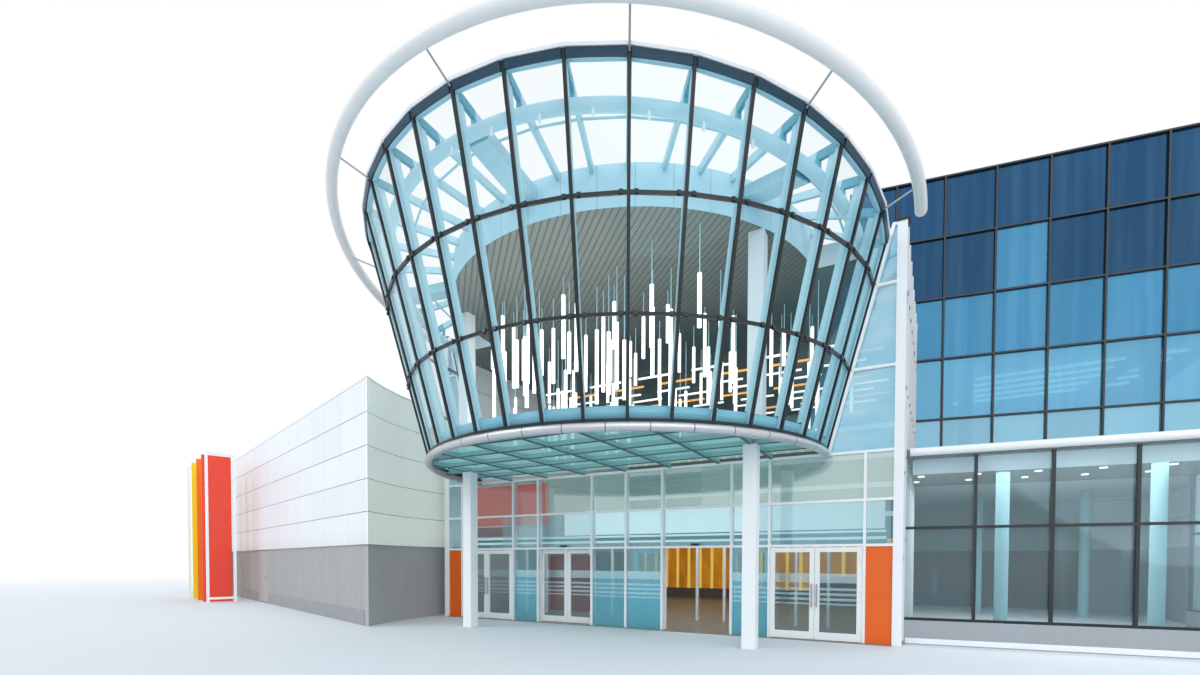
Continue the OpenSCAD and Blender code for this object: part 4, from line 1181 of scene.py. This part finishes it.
# %% Inner doors
INNER_DOORS = ((-5.4, -3.6), (-2.7, -0.9), (1.15, 2.95), (4.1, 5.9))
INNER_Y = (2.6, 2.68)
INNER_FOOT = 0.03
INNER_BAR = 0.08
INNER_HEAD = 2.3
inner_bars = []
for low, high in INNER_DOORS:
    for x in (low, (low + high) / 2 - INNER_BAR / 2, high - INNER_BAR):
        inner_bars.append(span((x, x + INNER_BAR), INNER_Y, (INNER_FOOT, INNER_HEAD)))
    inner_bars.append(span((low, high), INNER_Y, (INNER_HEAD, INNER_HEAD + INNER_BAR)))
blocks("inner_door_frames", plain, inner_bars, white_paint)

# %% [markdown]
# On the left the real hall has a printed coral panel behind the glass, and two smaller ones below it.
# Here they are plain and blank, in the same places, and the large one glows a little, a painted light.
# A small dark sensor sits over each pair of sliding doors, and its edges are eased, because it is seen
# from near.

# %% Coral panels and sensors
# Painted light: the large coral panel glows a little, though it is a printed panel and no lamp.
coral = glowing("coral_panel", tone(206, 72, 44), 0.45)
dim_coral = painted("dim_coral", tone(176, 76, 66), roughness=0.5)
CORAL = span((-5.95, CORAL_END), (0.22, 0.25), (3.0, 4.28))
CORAL_FEET = [span((-5.9, -4.0), (0.34, 0.36), (2.66, 2.98)),
              span((-2.95, -1.15), (0.60, 0.62), (0.35, 2.05))]
SENSOR_PLACES = (-2.05, 2.05)
SENSOR_HALF = 0.11
SENSOR_Y = (-0.05, -0.001)
SENSOR_Z = (2.29, 2.35)
blocks("coral_panel", plain, [CORAL], coral)
blocks("coral_foot", plain, CORAL_FEET, dim_coral)
sensors = [span((x - SENSOR_HALF, x + SENSOR_HALF), SENSOR_Y, SENSOR_Z) for x in SENSOR_PLACES]
blocks("door_sensors", plain, sensors, dark_metal, edge=0.008)

# %% [markdown]
# The wing's cladding is a rainscreen: large flat trays hang in front of a dark wall, with open joints
# between them. The trays are modelled one by one, because their joints and eased edges are what the
# eye sees. The curved end uses the same trays, bent, with joints at its own angles. Both kinds meet
# in a mitre at the sharp corner. The curved ones stand near the soffit, and painted light stands for
# the soffit's light on them: a lighter, greenish base and a faint glow.

# %% Paint of the trays
CURVE_MARGIN = 0.03
TONE_STEP = 2.8


def tray_paint():
    finish = Finish("tray_paint")
    pick = finish.dice((finish.x / TONE_STEP).floor(), ((finish.z - BASE_H) / ROW_H).floor())
    run = finish.noise(4.0, (1, 1, 0.06), 5.0)
    low_dirt = finish.ramp(finish.z, BASE_H + 0.5, BASE_H)
    curved_end = finish.reach() < CURVE_R + CURVE_MARGIN
    # Painted light: the curved end has a lighter, greenish base and a faint glow, for the soffit's light on
    # it.
    base = finish.mix(curved_end, tone(234, 239, 244), tone(246, 250, 246))
    base = finish.shade(base, pick * 0.05 + run * run * 0.10 + low_dirt * 0.08)
    oil_can = finish.bump(finish.noise(0.9, (1, 1, 0.7)), 0.012)
    painted_canopy_light = finish.mix(curved_end, BLACK, tone(212, 226, 204))
    return finish.coat(base, 0.32 + run * 0.12, Normal=oil_can, Emission_Color=painted_canopy_light,
                       Emission_Strength=0.17)


tray_white = tray_paint()

# %% [markdown]
# The joints cut the trays: even lengths along the wall, and the real one's own angles round the
# curve. An array could repeat one tray, but the first and the last differ, so each has its own
# block. A small bevel eases the flat ones, so that their edges catch a thin light.

# %% Rainscreen trays
TRAY_BACK = 0.001
TRAY_OUT = 0.014
TRAY_ROWS = 5
FIRST_JOINT = 3.708
CORNER_HALF = (math.pi / 2 - CORNER_ANGLE - WING_TURN) / 2
WING_LEN = 19.6
LONG_END = WING_LEN - 0.02
CURVE_JOINTS = (25.2, 7.2)
CURVE_END = -math.asin(0.7 / CURVE_R)
CURVE_STEP = math.radians(2.0)
HALF_GAP = GAP / 2 / CURVE_R
joints = [0.0, FIRST_JOINT]
while joints[-1] + TRAY_LEN < LONG_END:
    joints.append(joints[-1] + TRAY_LEN)
joints.append(LONG_END)
curve_edges = [None, *(math.radians(a) for a in CURVE_JOINTS), CURVE_END]


def mitred(t, out, z):
    """Along the wing, with the end at t = 0 cut along the mitre of the corner."""
    return wing(t if t > 0 else -out / math.tan(CORNER_HALF), out, z)


def mitre_angle(depth):
    """Angle at which the mitre crosses the curved wall, at a depth behind its face."""
    turn = CORNER_ANGLE + math.pi / 2 + CORNER_HALF
    way = Vector((math.cos(turn), math.sin(turn), 0))
    along = WING_CORNER.dot(way)
    point = WING_CORNER + way * (math.sqrt(along ** 2 + (CURVE_R + depth) ** 2 - CURVE_R ** 2) - along)
    return math.atan2(-point.y, -point.x)


def bent_plate(shape, first, last, z0, z1):
    """A tray bent round the curved wall, from a joint, or from the mitre where that is None."""
    def angle(depth, share):
        start = mitre_angle(depth) if first is None else first - HALF_GAP
        return start + (last + HALF_GAP - start) * share
    parts = max(1, round((angle(0.0, 0.0) - angle(0.0, 1.0)) / CURVE_STEP))
    section = ((-TRAY_OUT, z0), (-TRAY_OUT, z1), (-TRAY_BACK, z1), (-TRAY_BACK, z0))
    skin(shape, [[shape.verts.new(curve(angle(depth, j / parts), depth, z)) for depth, z in section]
                 for j in range(parts + 1)])


trays = bmesh.new()
curved = bmesh.new()
for k in range(TRAY_ROWS):
    z0 = BASE_H + k * ROW_H + GAP / 2
    z1 = BASE_H + (k + 1) * ROW_H - GAP / 2
    for a, b in zip(joints, joints[1:]):
        block(trays, mitred, (a + GAP / 2 if a else 0.0, TRAY_BACK, z0), (b - GAP / 2, TRAY_OUT, z1))
    for a, b in zip(curve_edges, curve_edges[1:]):
        bent_plate(curved, a, b, z0, z1)
piece("wing_trays", trays, tray_white, edge=0.003)
piece("curved_trays", curved, tray_white)

# %% [markdown]
# The grey base is ribbed sheet: narrow battens stand out from it at an even pitch, and stop at the
# flush service door, which only shows as thin lines with a small handle. A bump would give the same
# stripes from the front, but only real ribs still show where the camera looks along the wall.

# %% Ribbed base and service door
RIB_PITCH = 0.15
RIB_SIZE = (0.03, 0.012, BASE_H - 0.5)
RIB_OUT = 0.004
RIB_START = 0.45
RIB_FOOT = 0.45
SET_BACK = 0.05
SERVICE_DOOR = (11.94, 13.36)
RIB_RUNS = (("near", RIB_START, SERVICE_DOOR[0] - 0.08), ("far", SERVICE_DOOR[1] + 0.1, LONG_END - 0.1))
HANDLE_AT = SERVICE_DOOR[0] + 0.12
for name, start, end in RIB_RUNS:
    count = int((end - start) / RIB_PITCH)
    last = start + (count - 1) * RIB_PITCH
    ends = [wing(t, RIB_OUT - SET_BACK, RIB_FOOT + RIB_SIZE[2] / 2) for t in (start, last)]
    row("base_ribs_" + name, *ends, count, RIB_SIZE, math.pi - WING_TURN, grey_metal, "grey_metal")


def on_service_door(t, out, z):
    return wing(HANDLE_AT + t, out - SET_BACK, z)


BACK_PLATE = span((0.0, 0.04), (0.0, 0.012), (1.0, 1.22))
LEVER = span((0.0, 0.14), (0.03, 0.05), (1.09, 1.115))
NECK = span((0.01, 0.03), (0.0, 0.05), (1.09, 1.115))
blocks("service_handle", on_service_door, [BACK_PLATE, LEVER, NECK], steel,
       body="service_door")

# %% [markdown]
# White louvre blades clad the side of the hall that faces the blue block. They stand upright, with
# gaps that step up and down from one blade to the next. Even and odd blades are two rows each, so
# that the row tree can make them too.

# %% Louvre blades
BLADE_PITCH = 0.42
BLADE = (0.03, 0.27, 1.80)
BLADE_OUT = 0.012
BLADE_FIRST = 0.40
BLADE_LAST = 6.30
BLADE_STEP = 0.45
TOP_HEIGHTS = (1.4, 0.9)
TOP_LIFT = 0.2
LOUVRE_LEVELS = (1.0, 2.9, 4.8, 6.7, 8.4)
TOP_ROW = len(LOUVRE_LEVELS) - 1
count = int((BLADE_LAST - BLADE_FIRST) / (2 * BLADE_PITCH)) + 1
for number, level in enumerate(LOUVRE_LEVELS):
    for odd, parity in enumerate(("even", "odd")):
        height, lift = (BLADE[2], BLADE_STEP * odd) if number < TOP_ROW else (TOP_HEIGHTS[odd], TOP_LIFT)
        first = Vector((HALL_OUT + BLADE[0] / 2, BLADE_FIRST + odd * BLADE_PITCH, level + lift))
        last = first + Vector((2 * BLADE_OUT * (count - 1), 2 * BLADE_PITCH * (count - 1), 0))
        size = (BLADE[0], BLADE[1], height)
        row(f"louvres_{number + 1}_{parity}", first, last, count, size, 0.0, white_paint, "white_metal")

# %% [markdown]
# Dark sheet caps close the tops of the two end posts of the front, with a narrow overhang. They are
# two plain blocks, set on the posts.

# %% Post caps
FRONT_HALF = 6.65
CAP_Y = (-0.02, 0.20)
CAP_Z = (FRONT_TOP, FRONT_TOP + 0.05)
CAP_SIDES = ((FRONT_HALF - 0.02, HALL_OUT + 0.05), (-HALL_OUT, -FRONT_HALF))
blocks("post_caps", plain, [span(side, CAP_Y, CAP_Z) for side in CAP_SIDES], dark_metal)

# %% [markdown]
# Behind the blue glass stand pale columns, and strips of light run along the ceiling of the first
# floor. They only show dimly through the tinted panes, so plain blocks give enough depth. The strips
# run askew, as in the real rooms.

# %% Inside the blue block
COLUMN_PLACES = (1.53, 6.15)
COLUMNS = [span((x, x + 0.34), (0.45, 0.8), (BLOCK_LOW, 10.05)) for x in COLUMN_PLACES]
STRIP_TURN = 0.2
STRIP_Z = (7.99, 8.05)
STRIP_ENDS = ((2.2, 5.9), (6.6, 7.2))
STRIP_PLACES = [2.1 + 0.8 * j for j in range(5)]


def slanted(x, deep, z):
    return blue(x, deep - STRIP_TURN * x, z)


strips = [span(ends, (deep, deep + 0.12), STRIP_Z) for deep in STRIP_PLACES for ends in STRIP_ENDS]
blocks("blue_block_columns", blue, COLUMNS, white_paint)
blocks("blue_block_lights", slanted, strips, white_light)

# %% [markdown]
# In the pavilion, small round lights are set in a pale ceiling, with a light band over the glass, and
# a pale strip runs along the foot of the stone plinth. The lights stand on a grid, which a tree makes
# from its size and its counts.

# %% Inside the pavilion
PAVILION_TOP = 4.5
PAVILION_CEILING = PAVILION_TOP - 0.2
PAVILION_BAND = span((0.2, 6.7), (0.35, 0.40), (3.95, PAVILION_CEILING - 0.002))
LEDGE_STRIP = span((0.02, 7.3), (-0.356, -0.35), (0.02, 0.14))
DOWNLIGHT_R = 0.085
DOWNLIGHT_H = 0.03
MIDDLE = low_front(3.4, 2.7, PAVILION_CEILING - 0.016)


def downlight_tree():
    shape = Shape("downlights")
    centre, across, deep, columns, rows, turn = shape.ask(Centre="Vector", Across="Float", Deep="Float",
                                                          Columns="Int", Rows="Int", Turn="Float")
    grid = shape.node("GeometryNodeMeshGrid", inputs={"Size X": across, "Size Y": deep, "Vertices X": columns,
                                                      "Vertices Y": rows})
    placed = shape.node("GeometryNodeTransform", inputs={"Geometry": grid, "Translation": centre,
                                                         "Rotation": shape.join(z=turn)})
    disc = shape.node("GeometryNodeMeshCylinder", inputs={"Vertices": 16, "Radius": DOWNLIGHT_R,
                                                          "Depth": DOWNLIGHT_H})
    return shape.close(placed, disc)


blocks("pavilion_band", low_front, [PAVILION_BAND], white_paint)
grow("pavilion_downlights", downlight_tree(), white_light, "white_metal", Centre=tuple(MIDDLE), Across=5.4,
     Deep=3.6, Columns=5, Rows=4, Turn=PAVILION_TURN)
blocks("ledge_strip", low_front, [LEDGE_STRIP], white_paint)

# %% [markdown]
# Upright pull bars stand beside the meeting edges of the hinged doors, on two short brackets. Each
# set rides on its own leaf, so that it swings with the door.

# %% Door handles
HANDLE_IN = 0.055
PULL_BAR = ((-0.014, 0.014), (-0.055, -0.03), (0.80, 1.35))
BRACKETS = [((-0.012, 0.012), (-0.035, 0.006), level) for level in ((0.86, 0.885), (1.265, 1.29))]
for name in HINGED:
    low, high = leaf_sides(name)
    meeting = high - HANDLE_IN if name.endswith("_a") else low + HANDLE_IN
    spans = [span([meeting + x for x in across], deep, up) for across, deep, up in (PULL_BAR, *BRACKETS)]
    blocks(name + "_handle", plain, spans, steel, body=name, edge=0.004)

# %% [markdown]
# The floor is a plain pale disc, which isn't part of the building. It fades to the white of the
# background with distance, for the camera, in gloss and through glass only, so that it lights
# nothing more. A white floor all over would lose the soft shadow that grounds the building.

# %% Floor and background
FLOOR_R = 420.0
FLOOR_DROP = 0.002
FADE_FROM = 26.0
FADE_TO = 75.0
PLAIN_LIGHT = 1.0


def seen(graph):
    """1 on rays from the camera, from gloss and through glass, and 0 on rays that light things."""
    rays = [graph.node("ShaderNodeLightPath", out=name)
            for name in ("Is Camera Ray", "Is Glossy Ray", "Is Transmission Ray")]
    return graph.math("MINIMUM", rays[0] + rays[1] + rays[2], 1.0)


def floor_finish():
    finish = Finish("pale_floor")
    far = finish.ramp(finish.reach(), FADE_FROM, FADE_TO, interpolation_type="SMOOTHSTEP")
    matt = finish.principled(Base_Color=tone(214, 220, 226), Roughness=0.9)
    white = finish.node("ShaderNodeEmission", inputs={"Color": WHITE, "Strength": 1.0})
    return finish.close(finish.blend(far * seen(finish), matt, white))


disc = bmesh.new()
bmesh.ops.create_circle(disc, cap_ends=True, segments=96, radius=FLOOR_R)
floor = add("pale_floor", bpy.data.meshes.new("pale_floor"))
disc.to_mesh(floor.data)
disc.free()
floor.data.materials.append(floor_finish())
floor.location.z = -FLOOR_DROP

world = bpy.data.worlds.new("soft_sky")
world.use_nodes = True
bpy.context.scene.world = world
sky = Graph()
sky.tree = world.node_tree
sky.tree.nodes.clear()
haze = sky.node("ShaderNodeBackground", inputs={"Color": (0.93, 0.97, 1.0), "Strength": PLAIN_LIGHT})
backdrop = sky.node("ShaderNodeBackground", inputs={"Color": WHITE, "Strength": 1.0})
background = sky.node("ShaderNodeMixShader", inputs={0: seen(sky), 1: haze, 2: backdrop})
sky.feed(sky.tree.nodes.new("ShaderNodeOutputWorld").inputs["Surface"], background)
print("background white, plain light:", PLAIN_LIGHT)

# %% [markdown]
# Two broad suns stand for the bright parts of a hazy sky, on the left and on the right in front. One
# small hard sun would draw dark shadows that a hazy day doesn't have. Soft panels of light under the
# ceilings do what the shop's own lamps do, and one on the soffit lights the cone from below.

# %% Lamps
SUNS = (("left_sky", 0.5, 30, (0.62, 0.62, -0.75)),
        ("right_sky", 0.9, 60, (-0.62, 0.68, -0.45)))
PANELS = (("hall_light", (0, 6.5, CEILING - 0.3), (11, 11), 160, 0.0),
          ("front_light", (0, 2.0, 4.2), (11, 2.5), 160, 0.0),
          ("pavilion_light", (10.0, 4.0, 4.2), (5, 4), 380, 0.0),
          ("block_light", (11.2, 10.5, 7.9), (6, 4), 160, 0.0),
          ("cone_light", (0, -2.4, 4.7), (6, 3), 160, math.pi))
for name, power, spread, way in SUNS:
    sky_light = add(name, bpy.data.lights.new(name, "SUN"))
    sky_light.data.energy = power
    sky_light.data.angle = math.radians(spread)
    sky_light.rotation_euler = Vector(way).to_track_quat("-Z", "Y").to_euler()
for name, place, (width, depth), power, tip in PANELS:
    panel = add(name, bpy.data.lights.new(name, "AREA"))
    panel.data.shape = "RECTANGLE"
    panel.data.size = width
    panel.data.size_y = depth
    panel.data.energy = power
    panel.location = place
    panel.rotation_euler.x = tip
    panel.visible_camera = False
    panel.visible_glossy = False
print("lamps:", [item.name for item in bpy.data.lights])
